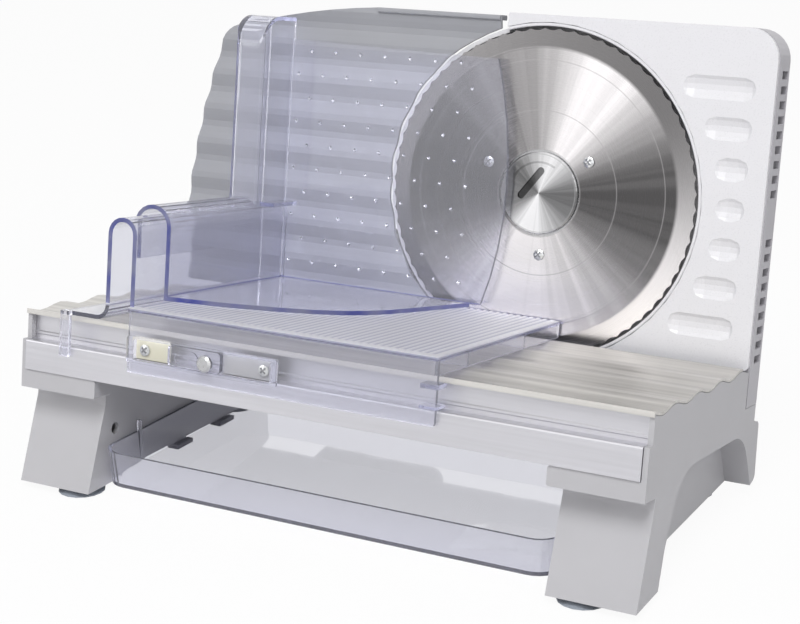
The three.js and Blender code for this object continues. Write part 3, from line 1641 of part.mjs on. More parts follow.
const shelfStart = 35.35; // the shelf leaves the ridge's end, then turns back beside the plate
const shelfStartReach = 8;
const shelfTurnShares = [[0.84, 0.24], [0.73, 0.38]]; // of the way from the curve's start to its end
function shelfEdge() {
  const start = new THREE.Vector2(holderRight + shelfStart, -holderReach + shelfStartReach);
  const end = new THREE.Vector2(shelfRight, -plateReach);
  const way = end.clone().sub(start);
  const turns = shelfTurnShares.map((share) => new THREE.Vector2(...share).multiply(way).add(start));
  const curve = new THREE.CubicBezierCurve(start, ...turns, end);
  return curve.getPoints(edgeSteps).map((point) => [point.x, point.y]);
}

function holderRidge() {
  const outside = archLine(holderOuter, -holderTopDrop, -holderLipDrop, -shelfDrop);
  const profile = [...outside, [railX, -shelfDrop], [railX, -holderLipDrop]];
  return along("y", outline(profile), -holderReach, -holderBackReach);
}

function holderChannel() {
  const low = -shelfDrop - overrun;
  const profile = archLine(holderInner, -holderTopDrop - holderWall, low, low);
  return along("y", outline(profile), -holderReach - overrun, overrun);
}

function holderColumn() {
  const low = -holderTopDrop - holderOuter;
  const shell = (inset, under, behind) => {
    const half = columnHalf - inset;
    const reach = -columnReach + inset;
    const back = -holderBackReach + behind;
    const side = [
      [reach, low - under],
      [back, low - under],
      [back, columnTop - inset],
      [reach, columnTop - inset, columnCorner - inset],
    ];
    const plan = [
      [railX - half, back],
      [railX - half, reach, columnRound - inset],
      [railX + half, reach, columnRound - inset],
      [railX + half, back],
    ];
    const upright = along("z", outline(plan, coarseSteps + 1), low - under, columnTop);
    return along("x", outline(side, fineSteps), railX - half, railX + half).intersect(upright);
  };
  return cut(shell(0, 0, 0), shell(holderWall, overrun, overrun));
}

function holderStuds() {
  const rows = Math.floor((studTop + shelfDrop - studPitchZ / 2) / studPitchZ) + 1;
  const columns = Math.floor((plateTopRight - studLeft) / studPitchX);
  return Array.from({ length: rows }, (_, row) => {
    const up = studTop - studPitchZ * row;
    const shifted = row % 2;
    return Array.from({ length: columns + shifted }, (_, k) => {
      const across = studLeft + studPitchX * (k - shifted / 2);
      const cone = new THREE.ConeGeometry(studRadius, studHeight + clearance, 4);
      return solid(cone.translate(across, plateBackY + studHeight / 2 - clearance / 2, up));
    });
  }).flat();
}

const strapLength = 8;
const strapReach = 35;
const strapDrop = 21;
function foodHolder() {
  const left = holderRight - holderWall;
  const plate = along(
    "y",
    outline([[left, -shelfDrop - sheet], [left, plateTop], ...plateEdge()]),
    plateFrontY,
    plateBackY,
  );
  const shelf = along(
    "z",
    outline([
      [left, plateBackY],
      [left, -holderReach],
      [holderRight, -holderReach],
      ...shelfEdge(),
      [shelfRight, plateBackY],
    ]),
    -shelfDrop - wall,
    -shelfDrop,
  );
  const strap = box(
    left,
    holderRight + strapLength,
    -strapReach,
    plateFrontY + sheet,
    -strapDrop - holderWall,
    -strapDrop,
  );
  const ridge = cut(
    holderRidge(),
    box(
      railX - columnHalf + holderWall,
      railX + columnHalf - holderWall,
      -columnReach + holderWall,
      overrun,
      -holderTopDrop - holderOuter,
      columnTop,
    ),
  );
  const carried = cut(join(ridge, holderColumn()), holderChannel());
  return join(carried, plate, shelf, strap, ...holderStuds());
}
piece("food_holder", foodHolder(), finishes.clear);

// Catch tray: a level clear tray with round corners and a little draft, on the cheeks' ledges.
function roundedRing(halfX, front, back, up, radius) {
  return rectangle(-halfX, halfX, front, back, radius, 6)
    .getPoints()
    .map((point) => new THREE.Vector3(point.x, point.y, up));
}

function catchTray() {
  const bottom = -trayBottomDrop;
  const top = bottom + trayHeight;
  const front = -trayFrontReach;
  const back = -trayBackReach;
  const outer = lofted([
    roundedRing(trayHalf - trayDraft, front + trayDraft, back - trayDraft, bottom, trayCorner),
    roundedRing(trayHalf, front, back, top, trayCorner),
  ]);
  const inner = lofted([
    roundedRing(
      trayHalf - trayDraft - trayWall,
      front + trayDraft + trayWall,
      back - trayDraft - trayWall,
      bottom + trayWall,
      trayCorner - trayWall,
    ),
    roundedRing(trayHalf - trayWall, front + trayWall, back - trayWall, top + clearance, trayCorner - trayWall),
  ]);
  const ribEnds = [-trayRibReach - trayRib / 2, -trayRibReach + trayRib / 2];
  const rib = rectangle(...ribEnds, bottom + trayWall, top + trayRibProud, trayRib / 3, coarseSteps);
  return join(cut(outer, inner), along("x", rib, -trayHalf + trayDraft, -trayHalf + trayDraft + trayWall));
}
piece("catch_tray", catchTray(), finishes.clear, assembly);

// The part's origin is on the table, under the middle of the whole slicer.
const slicer = new THREE.Group();
slicer.name = "food_slicer";
slicer.add(assembly);
assembly.updateMatrixWorld(true);
const extent = new THREE.Box3().setFromObject(assembly, true);
const centre = extent.getCenter(new THREE.Vector3());
assembly.position.set(-centre.x, -centre.y, -extent.min.z);

export default slicer;
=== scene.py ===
"""Looks of the electric food slicer: finishes, small detail, studio and camera.

Metres, +Z up, +X to the right of someone who faces the blade, +Y away from them.
"""

import math

import bmesh
import bpy
from mathutils import Matrix, Vector


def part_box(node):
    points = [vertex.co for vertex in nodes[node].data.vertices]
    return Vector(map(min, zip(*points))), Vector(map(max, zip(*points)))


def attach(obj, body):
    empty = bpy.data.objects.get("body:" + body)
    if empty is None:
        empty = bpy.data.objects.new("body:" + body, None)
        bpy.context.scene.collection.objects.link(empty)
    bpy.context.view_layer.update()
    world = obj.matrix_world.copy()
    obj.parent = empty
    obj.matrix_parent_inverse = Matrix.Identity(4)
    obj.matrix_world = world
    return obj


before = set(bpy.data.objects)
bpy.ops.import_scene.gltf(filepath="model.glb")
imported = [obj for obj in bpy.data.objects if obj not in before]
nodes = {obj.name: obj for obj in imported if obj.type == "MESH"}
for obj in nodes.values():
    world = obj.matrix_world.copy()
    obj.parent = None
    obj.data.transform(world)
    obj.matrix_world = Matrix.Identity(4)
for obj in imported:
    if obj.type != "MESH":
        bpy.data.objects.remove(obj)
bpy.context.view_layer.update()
scene = bpy.context.scene

# The machine's own frame: x along the base, y behind the teeth, z above the blade's axis, leaning back.
LEAN = math.radians(8)
BLADE_AXIS = Vector((0.056, 0.048648, 0.1658))
MACHINE = Matrix.Translation((0, BLADE_AXIS.y, BLADE_AXIS.z)) @ Matrix.Rotation(-LEAN, 4, "X")

BLACK = (0, 0, 0, 1)
WHITE = (1, 1, 1, 1)

# Camera, solved from the photograph.
CAMERA_PLACE = (0.45806, -0.88938, 0.39056)
CAMERA_AZIMUTH = math.radians(27.76)
CAMERA_PITCH = math.radians(16.28)
CAMERA_ROLL = math.radians(0.11)
SENSOR_WIDTH = 36
LENS = 80.37
CLIP_START = 0.05


def add_camera():
    """The camera that the machine is seen with."""
    data = bpy.data.cameras.new("camera")
    data.sensor_width = SENSOR_WIDTH
    data.lens = LENS
    data.clip_start = CLIP_START
    camera = bpy.data.objects.new("camera", data)
    scene.collection.objects.link(camera)
    turn = (
        Matrix.Rotation(CAMERA_AZIMUTH, 4, "Z")
        @ Matrix.Rotation(math.pi / 2 - CAMERA_PITCH, 4, "X")
        @ Matrix.Rotation(CAMERA_ROLL, 4, "Z")
    )
    camera.matrix_world = Matrix.Translation(CAMERA_PLACE) @ turn
    scene.camera = camera


add_camera()


# Sockets of a Mix node that take two colours and give one. Those for numbers and vectors come before them.
MIX_FIRST = 6
MIX_SECOND = 7
MIX_RESULT = 2


class Graph:
    """A material's or world's node tree, with short calls to add and join nodes."""

    def __init__(self, tree):
        self.tree = tree

    def add(self, kind, **settings):
        node = self.tree.nodes.new(kind)
        for name, value in settings.items():
            setattr(node, name, value)
        return node

    def join(self, output, target):
        self.tree.links.new(output, target)

    def feed(self, socket, value):
        """Joins an output to the socket, or sets the socket's own value."""
        if isinstance(value, bpy.types.NodeSocket):
            self.join(value, socket)
        else:
            socket.default_value = value

    def math(self, operation, first, second=0.0):
        node = self.add("ShaderNodeMath", operation=operation)
        self.feed(node.inputs[0], first)
        self.feed(node.inputs[1], second)
        return node.outputs[0]

    def vector(self, operation, first, second=(0, 0, 0)):
        node = self.add("ShaderNodeVectorMath", operation=operation)
        self.feed(node.inputs[0], first)
        self.feed(node.inputs[1], second)
        return node.outputs["Value" if operation == "LENGTH" else "Vector"]

    def split(self, vector):
        node = self.add("ShaderNodeSeparateXYZ")
        self.join(vector, node.inputs[0])
        return node.outputs

    def gather(self, x, y, z):
        node = self.add("ShaderNodeCombineXYZ")
        for socket, value in zip(node.inputs, (x, y, z)):
            self.feed(socket, value)
        return node.outputs[0]

    def place(self, scale=(1, 1, 1), rotation=(0, 0, 0), origin=(0, 0, 0)):
        """The object's own coordinates, moved to an origin, turned and scaled."""
        coordinates = self.add("ShaderNodeTexCoord").outputs["Object"]
        moved = self.vector("SUBTRACT", coordinates, origin)
        node = self.add("ShaderNodeMapping")
        self.join(moved, node.inputs["Vector"])
        node.inputs["Rotation"].default_value = rotation
        node.inputs["Scale"].default_value = scale
        return node.outputs[0]

    def leaning(self, origin=BLADE_AXIS):
        """Across, depth and up from an origin, in the machine's leaning frame."""
        return self.split(self.place(rotation=(LEAN, 0, 0), origin=origin))

    def noise(self, vector, scale, detail, roughness=0.5):
        node = self.add("ShaderNodeTexNoise")
        self.join(vector, node.inputs["Vector"])
        node.inputs["Scale"].default_value = scale
        node.inputs["Detail"].default_value = detail
        node.inputs["Roughness"].default_value = roughness
        return node.outputs["Fac"]

    def spread(self, value, low, high, from_low=0.3, from_high=0.7):
        """The range from_low to from_high, spread from low to high. Noise fills the default range."""
        node = self.add("ShaderNodeMapRange")
        self.join(value, node.inputs["Value"])
        ends = {"From Min": from_low, "From Max": from_high, "To Min": low, "To Max": high}
        for name, number in ends.items():
            node.inputs[name].default_value = number
        return node.outputs["Result"]

    def part_way(self, share, low, high):
        """From low where the share is 0 to high where it is 1."""
        return self.spread(share, low, high, 0, 1)

    def between(self, share, first, second):
        """The first value where the share is 0 and the second where it is 1."""
        kept = self.math("MULTIPLY", first, self.math("SUBTRACT", 1.0, share))
        return self.math("ADD", kept, self.math("MULTIPLY", share, second))

    def mix_color(self, factor, first, second):
        node = self.add("ShaderNodeMix", data_type="RGBA")
        self.feed(node.inputs[0], factor)
        self.feed(node.inputs[MIX_FIRST], first)
        self.feed(node.inputs[MIX_SECOND], second)
        return node.outputs[MIX_RESULT]

    def bump(self, height, strength, distance):
        node = self.add("ShaderNodeBump")
        node.inputs["Strength"].default_value = strength
        node.inputs["Distance"].default_value = distance
        self.join(height, node.inputs["Height"])
        return node.outputs[0]

    def mix_surfaces(self, factor, first, second, output):
        """Shows the first shader, and the second by the factor."""
        blend = self.add("ShaderNodeMixShader")
        for socket, value in zip(blend.inputs, (factor, first, second)):
            self.join(value, socket)
        self.join(blend.outputs[0], output.inputs["Surface"])

    def straight_rays(self):
        """The light path, and 1 on rays that come from the camera, also through clear parts."""
        path = self.add("ShaderNodeLightPath")
        return path, self.math("MAXIMUM", path.outputs["Is Camera Ray"], path.outputs["Is Transmission Ray"])


def new_material(name, color, roughness, metallic=0.0, **sockets):
    """A material with one shader, and the graph and shader to build on."""
    made = bpy.data.materials.new(name)
    made.use_nodes = True
    made.diffuse_color = (*color, 1)
    shader = made.node_tree.nodes["Principled BSDF"]
    shader.inputs["Base Color"].default_value = (*color, 1)
    shader.inputs["Roughness"].default_value = roughness
    shader.inputs["Metallic"].default_value = metallic
    for socket, value in sockets.items():
        shader.inputs[socket.replace("_", " ")].default_value = value
    return made, Graph(made.node_tree), shader


def tones(color, amount):
    """A darker and a paler tone of a colour."""
    dark = [max(0, channel * (1 - amount)) for channel in color]
    pale = [min(1, channel * (1 + amount)) for channel in color]
    return (*dark, 1), (*pale, 1)


# Moulded plastic and paint: a fine grain over broad clouds of tone.
GRAIN_DETAIL = 2
CLOUD_SIZE = 22
CLOUD_DETAIL = 3
PLASTIC_ROUGHNESS_HALF = 0.05
GRAIN_HEIGHT = 0.00012


def grained_plastic(name, color, roughness, grain=0.12, size=900, coat=0.0, tone=0.02):
    """Opaque plastic or paint with a fine grain."""
    made, graph, shader = new_material(name, color, roughness, Coat_Weight=coat)
    place = graph.place()
    fine = graph.noise(place, size, GRAIN_DETAIL)
    broad = graph.noise(place, CLOUD_SIZE, CLOUD_DETAIL)
    dark, pale = tones(color, tone)
    low, high = roughness - PLASTIC_ROUGHNESS_HALF, roughness + PLASTIC_ROUGHNESS_HALF
    graph.join(graph.mix_color(graph.spread(broad, 0, 1), dark, pale), shader.inputs["Base Color"])
    graph.join(graph.spread(fine, low, high), shader.inputs["Roughness"])
    graph.join(graph.bump(fine, grain, GRAIN_HEIGHT), shader.inputs["Normal"])
    return made


# Brushed metal: noise stretched into lines.
LINE_DETAIL = 4
LINE_ROUGHNESS = 0.6
SMEAR_SIZE = 14
SMEAR_DETAIL = 3
LINE_HALF = 0.05
SMEAR_HALF = 0.03
LINE_HEIGHT = 0.0001


def brushed_metal(name, color, roughness, stretch, grain, tone):
    """Metal with brushed lines, whose number for each metre is given along x, y and z."""
    made, graph, shader = new_material(name, color, roughness, 1.0)
    lines = graph.noise(graph.place(stretch), 1, LINE_DETAIL, LINE_ROUGHNESS)
    smear = graph.noise(graph.place(), SMEAR_SIZE, SMEAR_DETAIL)
    dark, pale = tones(color, tone)
    graph.join(graph.mix_color(graph.spread(lines, 0, 1), dark, pale), shader.inputs["Base Color"])
    smeared = graph.spread(smear, roughness - SMEAR_HALF, roughness + SMEAR_HALF)
    rough = graph.math("ADD", graph.spread(lines, -LINE_HALF, LINE_HALF), smeared)
    graph.join(rough, shader.inputs["Roughness"])
    graph.join(graph.bump(lines, grain, LINE_HEIGHT), shader.inputs["Normal"])
    return made


def about_blade(graph):
    """Distance from the blade's axis, angle round it, direction away from it and depth behind the teeth."""
    across, depth, up = graph.leaning()
    spoke = graph.gather(across, 0.0, up)
    radius = graph.vector("LENGTH", spoke)
    angle = graph.math("ARCTAN2", up, across)
    return radius, angle, graph.vector("NORMALIZE", spoke), depth


def near(graph, value, middle, half):
    """1 where the value is at the middle, falling to 0 at half a width away."""
    away = graph.math("ABSOLUTE", graph.math("SUBTRACT", value, middle))
    return graph.spread(away, 1, 0, 0, half)


def lobe(graph, angle, peak, sharpness):
    """1 at the peak, in degrees, falling to 0 a quarter turn away."""
    turn = graph.math("COSINE", graph.math("SUBTRACT", angle, math.radians(peak)))
    return graph.math("POWER", graph.math("MAXIMUM", turn, 0.0), sharpness)


# Spun metal: circles about the blade's axis, and painted highlight fans that run out from it, with painted
# shade between them.
SPUN_ANISOTROPY = 0.7
STREAK_SIZE = 7
STREAK_HALF = 0.10
SHADE_POWER = 2.2
CIRCLE_SIZE = 4200
CIRCLE_DETAIL = 3
CIRCLE_ROUGHNESS = 0.7
CIRCLE_SHADES = (0.86, 1.12)
CIRCLE_ROUGHNESS_HALF = 0.04
CIRCLE_GRAIN = 0.08
CIRCLE_HEIGHT = 0.0001
RING_HALF = 0.0005
RING_DEPTH = 0.6
RING_SHADE = 0.45
SUNK_SHADE = 0.08


def spun_metal(name, color, roughness, painted_fans, shades, rings, painted_edge=None, sunk=None):
    """Metal turned about the blade's axis: fine circles, and painted highlight fans at (angle, sharpness,
    strength), with painted shade between them.

    Rings are fine lines at a radius. The painted edge is a bevel from one radius to another, with a painted
    highlight lobe of its own, painted shade away from it and painted light in it. What is sunk is darkened with
    painted shade from one depth to another, inside a reach.
    """
    made, graph, shader = new_material(name, color, roughness, 1.0, Anisotropic=SPUN_ANISOTROPY)
    radius, angle, direction, depth = about_blade(graph)
    streaks = graph.noise(direction, STREAK_SIZE, LINE_DETAIL, LINE_ROUGHNESS)
    fan = graph.spread(streaks, -STREAK_HALF, STREAK_HALF)
    # Painted highlight: bright fans painted into the colour at set angles round the axis, with painted shade
    # between them.
    for peak, sharpness, strength in painted_fans:
        fan = graph.math("ADD", fan, graph.math("MULTIPLY", lobe(graph, angle, peak, sharpness), strength))
    shade = graph.math("POWER", graph.spread(fan, *shades, 0, 1), SHADE_POWER)
    circles = graph.noise(graph.gather(radius, 0.0, 0.0), CIRCLE_SIZE, CIRCLE_DETAIL, CIRCLE_ROUGHNESS)
    shade = graph.math("MULTIPLY", shade, graph.spread(circles, *CIRCLE_SHADES))
    for ring in rings:
        line = graph.math("MULTIPLY", near(graph, radius, ring, RING_HALF), RING_DEPTH)
        shade = graph.between(line, shade, RING_SHADE)
    # Painted highlight and painted shade on the bevel: a lobe of painted light at one angle, painted shade away
    # from it.
    if painted_edge:
        start, end, peak, sharpness, low, high = painted_edge
        bevel = graph.spread(radius, 0, 1, start, end)
        shade = graph.between(bevel, shade, graph.part_way(lobe(graph, angle, peak, sharpness), low, high))
    # Painted shade in the hub's coin slot and groove: darker with depth behind the teeth, inside a reach.
    if sunk:
        start, end, reach = sunk
        inside = graph.math("LESS_THAN", radius, reach)
        hollow_shade = graph.math("MULTIPLY", graph.spread(depth, 0, 1, start, end), inside)
        shade = graph.math("MULTIPLY", shade, graph.part_way(hollow_shade, 1, SUNK_SHADE))
    low, high = roughness - CIRCLE_ROUGHNESS_HALF, roughness + CIRCLE_ROUGHNESS_HALF
    # The painted light and shade set the colour, from black up to the metal's colour.
    graph.join(graph.mix_color(shade, BLACK, (*color, 1)), shader.inputs["Base Color"])
    graph.join(graph.spread(circles, low, high), shader.inputs["Roughness"])
    graph.join(graph.bump(circles, CIRCLE_GRAIN, CIRCLE_HEIGHT), shader.inputs["Normal"])
    tangent = graph.vector("CROSS_PRODUCT", direction, (0, 1, 0))
    spaces = {"vector_type": "VECTOR", "convert_from": "OBJECT", "convert_to": "WORLD"}
    to_world = graph.add("ShaderNodeVectorTransform", **spaces)
    graph.join(tangent, to_world.inputs[0])
    graph.join(to_world.outputs[0], shader.inputs["Tangent"])
    return made


# Screw heads: a cross recess, bumped in, and a gap round the head, both darkened with painted shade.
SCREW_COLOR = (0.62, 0.63, 0.64)
SCREW_SHADE = (0.07, 0.07, 0.08, 1)
SCREW_ROUGHNESS = 0.28
SCREW_ROUGHNESS_RANGE = (0.22, 0.36)
SCRATCH_SIZE = 1500
SCRATCH_DETAIL = 2
SLOT_WIDTH = 0.0008
SLOT_REACH = 0.0021
SLOT_BUMP = 0.6
SLOT_DEPTH = 0.0006
RIM_SHARES = (1.45, 1.7)
RIM_SHADE = 0.7
DEEPEST_SHADE = 0.85
DIAGONAL = 0.7071


def crossed_screw(name, node):
    """A steel screw with a cross recess in its head, with painted shade in the recess and round the head."""
    low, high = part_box(node)
    middle = [(a + b) / 2 for a, b in zip(low, high)]
    made, graph, shader = new_material(name, SCREW_COLOR, SCREW_ROUGHNESS, 1.0)
    across, _, up = graph.leaning(middle)
    turned = graph.math("MULTIPLY", graph.math("ADD", across, up), DIAGONAL)
    other = graph.math("MULTIPLY", graph.math("SUBTRACT", across, up), DIAGONAL)
    radius = graph.vector("LENGTH", graph.gather(across, 0.0, up))
    arms = [near(graph, along, 0.0, SLOT_WIDTH) for along in (turned, other)]
    inside = graph.math("LESS_THAN", radius, SLOT_REACH)
    recess = graph.math("MULTIPLY", graph.math("MAXIMUM", *arms), inside)
    rim = graph.spread(radius, 0, 1, *[SLOT_REACH * share for share in RIM_SHARES])
    # Painted shade: the recess and the gap round the head are darkened in the colour.
    dark = graph.math("MAXIMUM", recess, graph.math("MULTIPLY", rim, RIM_SHADE))
    tone = graph.mix_color(graph.math("MULTIPLY", dark, DEEPEST_SHADE), (*SCREW_COLOR, 1), SCREW_SHADE)
    graph.join(tone, shader.inputs["Base Color"])
    scratches = graph.noise(graph.place(), SCRATCH_SIZE, SCRATCH_DETAIL)
    graph.join(graph.spread(scratches, *SCREW_ROUGHNESS_RANGE), shader.inputs["Roughness"])
    graph.join(graph.bump(recess, SLOT_BUMP, SLOT_DEPTH), shader.inputs["Normal"])
    return made


# The carriage's ribbed floor: its top's drop below the axis, and its ribs with their pale crests and hollows,
# which get painted shade. Shares are of a rib's height, down from the crests.
FLOOR_DROP = 0.0724
RIB_HEIGHT = 0.0008
FLOOR_SHARES = (-0.5, 1.5)
HOLLOW_SHARES = (0.2, 0.8)
CREST = (0.99, 0.985, 1.0, 1)
HOLLOW_SHADE = (0.50, 0.50, 0.60, 1)


def ribbed_floor(graph):
    """Where the carriage's ribbed floor is, and how far down a point lies in the hollows between its ribs."""
    _, _, up = graph.leaning()
    sunk = graph.math("SUBTRACT", -FLOOR_DROP, up)
    top, bottom = [RIB_HEIGHT * share for share in FLOOR_SHARES]
    below, above = graph.math("LESS_THAN", sunk, bottom), graph.math("GREATER_THAN", sunk, top)
    floor = graph.math("MULTIPLY", below, above)
    down = graph.spread(sunk, 0, 1, *[RIB_HEIGHT * share for share in HOLLOW_SHARES])
    return floor, graph.math("MULTIPLY", floor, down)


UPRIGHT_SLOPE = 0.5


def cut_edges(graph, front, floor, shelf):
    """Edges of the moulding that get the painted edge tint: its front ends above a floor, and the rim of a low
    shelf.
    """
    _, depth, up = graph.leaning()
    ahead, above = graph.math("LESS_THAN", depth, front), graph.math("GREATER_THAN", up, floor)
    _, _, rise = graph.split(graph.add("ShaderNodeTexCoord").outputs["Normal"])
    upright = graph.math("LESS_THAN", graph.math("ABSOLUTE", rise), UPRIGHT_SLOPE)
    rim = graph.math("MULTIPLY", upright, graph.math("LESS_THAN", up, shelf))
    return graph.math("MAXIMUM", graph.math("MULTIPLY", ahead, above), rim)


# Clear plastic: its colour, what light keeps inside it, and how much of the light passes, with a painted dark
# indigo shade at its edges in place of the tint that light gathers along the sheet.
CLEAR = (0.90, 0.90, 0.92)
INDIGO = (0.24, 0.28, 0.74)
PAINTED_EDGE_TINT = (0.07, 0.085, 0.36, 1)
SHADOW_TINT = (0.925, 0.925, 0.937, 1)
REFRACTION = 1.45
PASSING = 0.93
FLOOR_PASSING = 0.45
EDGE_PASSING = 0.35
EDGE_SHARES = (0.6, 1.0)
CLEAR_ROUGHNESS = 0.03
CLEAR_ROUGHNESS_SHARES = (0.5, 1.8)
FLOOR_ROUGHNESS = 0.35
CLEAR_CLOUD_SIZE = 60
CLEAR_CLOUD_DETAIL = 2
RIPPLE_SIZE = 45
RIPPLE_DETAIL = 1
RIPPLE_BUMP = 0.06
RIPPLE_HEIGHT = 0.001


def clear_plastic(name, color, absorb, density, ribbed=False, edges=None):
    """Clear moulded plastic. Lamps shine through it, and its edges get a painted dark indigo shade for the tint
    that light gathers along the sheet.
    """
    made, graph, shader = new_material(
        name, color, CLEAR_ROUGHNESS, Transmission_Weight=PASSING, IOR=REFRACTION
    )
    cloud = graph.noise(graph.place(), CLEAR_CLOUD_SIZE, CLEAR_CLOUD_DETAIL)
    rough = graph.spread(cloud, *[CLEAR_ROUGHNESS * share for share in CLEAR_ROUGHNESS_SHARES])
    ripple = graph.noise(graph.place(), RIPPLE_SIZE, RIPPLE_DETAIL)
    graph.join(graph.bump(ripple, RIPPLE_BUMP, RIPPLE_HEIGHT), shader.inputs["Normal"])
    base, passing = (*color, 1), PASSING
    if ribbed:
        floor, hollow_shade = ribbed_floor(graph)
        # Painted shade in the hollows between the ribs, over the floor's pale colour.
        base = graph.mix_color(hollow_shade, graph.mix_color(floor, base, CREST), HOLLOW_SHADE)
        passing = graph.part_way(floor, PASSING, FLOOR_PASSING)
        rough = graph.math("ADD", rough, graph.math("MULTIPLY", floor, FLOOR_ROUGHNESS))
    if edges:
        # Painted edge tint: a dark indigo shade painted on the cut edges, which also pass less light.
        painted_edge = graph.math("MULTIPLY", cut_edges(graph, *edges), graph.spread(cloud, *EDGE_SHARES))
        base = graph.mix_color(painted_edge, base, PAINTED_EDGE_TINT)
        passing = graph.math("MULTIPLY", passing, graph.part_way(painted_edge, 1, EDGE_PASSING))
        graph.join(base, shader.inputs["Base Color"])
        graph.join(passing, shader.inputs["Transmission Weight"])
    graph.join(rough, shader.inputs["Roughness"])
    volume = graph.add("ShaderNodeVolumeAbsorption")
    volume.inputs["Color"].default_value = (*absorb, 1)
    volume.inputs["Density"].default_value = density
    output = made.node_tree.nodes["Material Output"]
    graph.join(volume.outputs[0], output.inputs["Volume"])
    through = graph.add("ShaderNodeBsdfTransparent")
    through.inputs["Color"].default_value = SHADOW_TINT
    shadow = graph.add("ShaderNodeLightPath").outputs["Is Shadow Ray"]
    graph.mix_surfaces(shadow, shader.outputs[0], through.outputs[0], output)
    return made


# Blade and hub, as spun_metal takes them, with their painted highlight fans, painted bevel light and painted
# slot shade. Edges of the clear parts, where the painted edge tint goes, are front, floor and shelf of
# cut_edges, and a shelf at -1 lies below everything.
BLADE_HIGHLIGHT_FANS = ((62, 6, 1.0), (-110, 5, 1.0), (-60, 6, 0.7), (118, 8, 0.35))
BLADE_SHADES = (0.35, 0.97)
BLADE_RINGS = (0.077, 0.048, 0.0256)
# The bevel's radii, then its painted highlight lobe (angle, sharpness) and its painted shade and painted light.
BLADE_BEVEL_LIGHT = (0.083, 0.085, -42, 3, 0.20, 0.92)
HUB_HIGHLIGHT_FANS = ((72, 3, 0.9), (-108, 5, 1.0), (-62, 6, 0.45), (178, 8, 0.15))
HUB_SHADES = (0.44, 0.98)
HUB_RINGS = (0.0228,)
HUB_SLOT_SHADE = (-0.0017, -0.0007, 0.0222)
HOLDER_EDGES = (-0.1315, -0.069, -0.0688)
CARRIAGE_EDGES = (-0.1595, -0.0723, -1.0)
CLEAR_DENSITY = 30

finish = {
    "deck": brushed_metal(
        "deck_steel", color=(0.62, 0.605, 0.58), roughness=0.50,
        stretch=(5, 260, 260), grain=0.10, tone=0.14,
    ),
    "rail": brushed_metal(
        "rail_aluminium", color=(0.61, 0.605, 0.635), roughness=0.46,
        stretch=(9, 500, 500), grain=0.06, tone=0.04,
    ),
    "cheek": grained_plastic(
        "cheek_plastic", color=(0.48, 0.475, 0.495), roughness=0.45, grain=0.10, size=1400
    ),
    # Painted shade: the pan's plastic is made darker than the cheeks' moulding, for the shade under the deck.
    "pan": grained_plastic(
        "shaded_pan_plastic", color=(0.15, 0.155, 0.17), roughness=0.5, grain=0.10, size=1400
    ),
    "panel": grained_plastic(
        "panel_plastic", color=(0.74, 0.735, 0.76), roughness=0.30, grain=0.03, size=1200, coat=0.1, tone=0.01
    ),
    "cover": grained_plastic(
        "cover_plastic", color=(0.46, 0.45, 0.48), roughness=0.42, grain=0.08, size=1200
    ),
    "gauge": grained_plastic(
        "gauge_paint", color=(0.34, 0.345, 0.37), roughness=0.6, grain=0.12, size=1500, tone=0.03
    ),
    "blade": spun_metal(
        "blade_steel", color=(1.0, 0.97, 0.98), roughness=0.26,
        painted_fans=BLADE_HIGHLIGHT_FANS, shades=BLADE_SHADES, rings=BLADE_RINGS, painted_edge=BLADE_BEVEL_LIGHT,
    ),
    "hub": spun_metal(
        "hub_aluminium", color=(0.99, 0.985, 1.0), roughness=0.22,
        painted_fans=HUB_HIGHLIGHT_FANS, shades=HUB_SHADES, rings=HUB_RINGS, sunk=HUB_SLOT_SHADE,
    ),
    "steel": brushed_metal(
        "plain_steel", color=(0.55, 0.55, 0.56), roughness=0.28,
        stretch=(300, 300, 300), grain=0.04, tone=0.05,
    ),
    "clear": clear_plastic("clear_plastic", CLEAR, INDIGO, CLEAR_DENSITY),
    "holder": clear_plastic("holder_plastic", CLEAR, INDIGO, CLEAR_DENSITY, edges=HOLDER_EDGES),
    "ribbed": clear_plastic(
        "ribbed_plastic", CLEAR, INDIGO, CLEAR_DENSITY, ribbed=True, edges=CARRIAGE_EDGES
    ),
    "tray": clear_plastic("tray_plastic", color=(0.87, 0.87, 0.905), absorb=(0.24, 0.27, 0.72), density=22),
    "cream": grained_plastic("cream_plastic", color=(0.66, 0.64, 0.52), roughness=0.45),
    "strip": grained_plastic("strip_plastic", color=(0.42, 0.42, 0.45), roughness=0.35),
    "rubber": grained_plastic("foot_rubber", color=(0.30, 0.33, 0.38), roughness=0.5, grain=0.08, size=700),
    "black": grained_plastic("black_plastic", color=(0.022, 0.022, 0.025), roughness=0.42, size=1400),
    "gear": grained_plastic("gear_nylon", color=(0.72, 0.70, 0.63), roughness=0.45),
}
WORN_BY = {
    "deck": ["deck"],
    "rail": ["front_rail"],
    "cheek": ["left_cheek", "right_cheek"],
    "pan": ["base_pan", "gauge_bracket"],
    "panel": ["blade_panel"],
    "cover": ["rear_cover"],
    "gauge": ["gauge_plate"],
    "blade": ["blade"],
    "hub": ["hub_lock"],
    "steel": [
        "cover_screw_1", "cover_screw_2", "cover_screw_3", "cover_screw_4", "axle_bush", "gear_frame",
        "motor", "blade_hub", "blade_axle", "axle_clip", "motor_rotor", "guide_rod_left", "guide_rod_right",
        "latch_knob",
    ],
    "clear": ["latch_slider"],
    "holder": ["food_holder"],
    "ribbed": ["carriage"],
    "tray": ["catch_tray"],
    "cream": ["latch_plate"],
    "strip": ["latch_strip"],
    "rubber": [
        "suction_foot_front_left", "suction_foot_front_right",
        "suction_foot_rear_left", "suction_foot_rear_right",
    ],
    "black": [
        "cord_gland", "power_switch", "safety_switch", "thickness_dial", "power_button", "safety_button",
    ],
    "gear": ["wheel_spacer", "worm_wheel", "cooling_fan"],
}
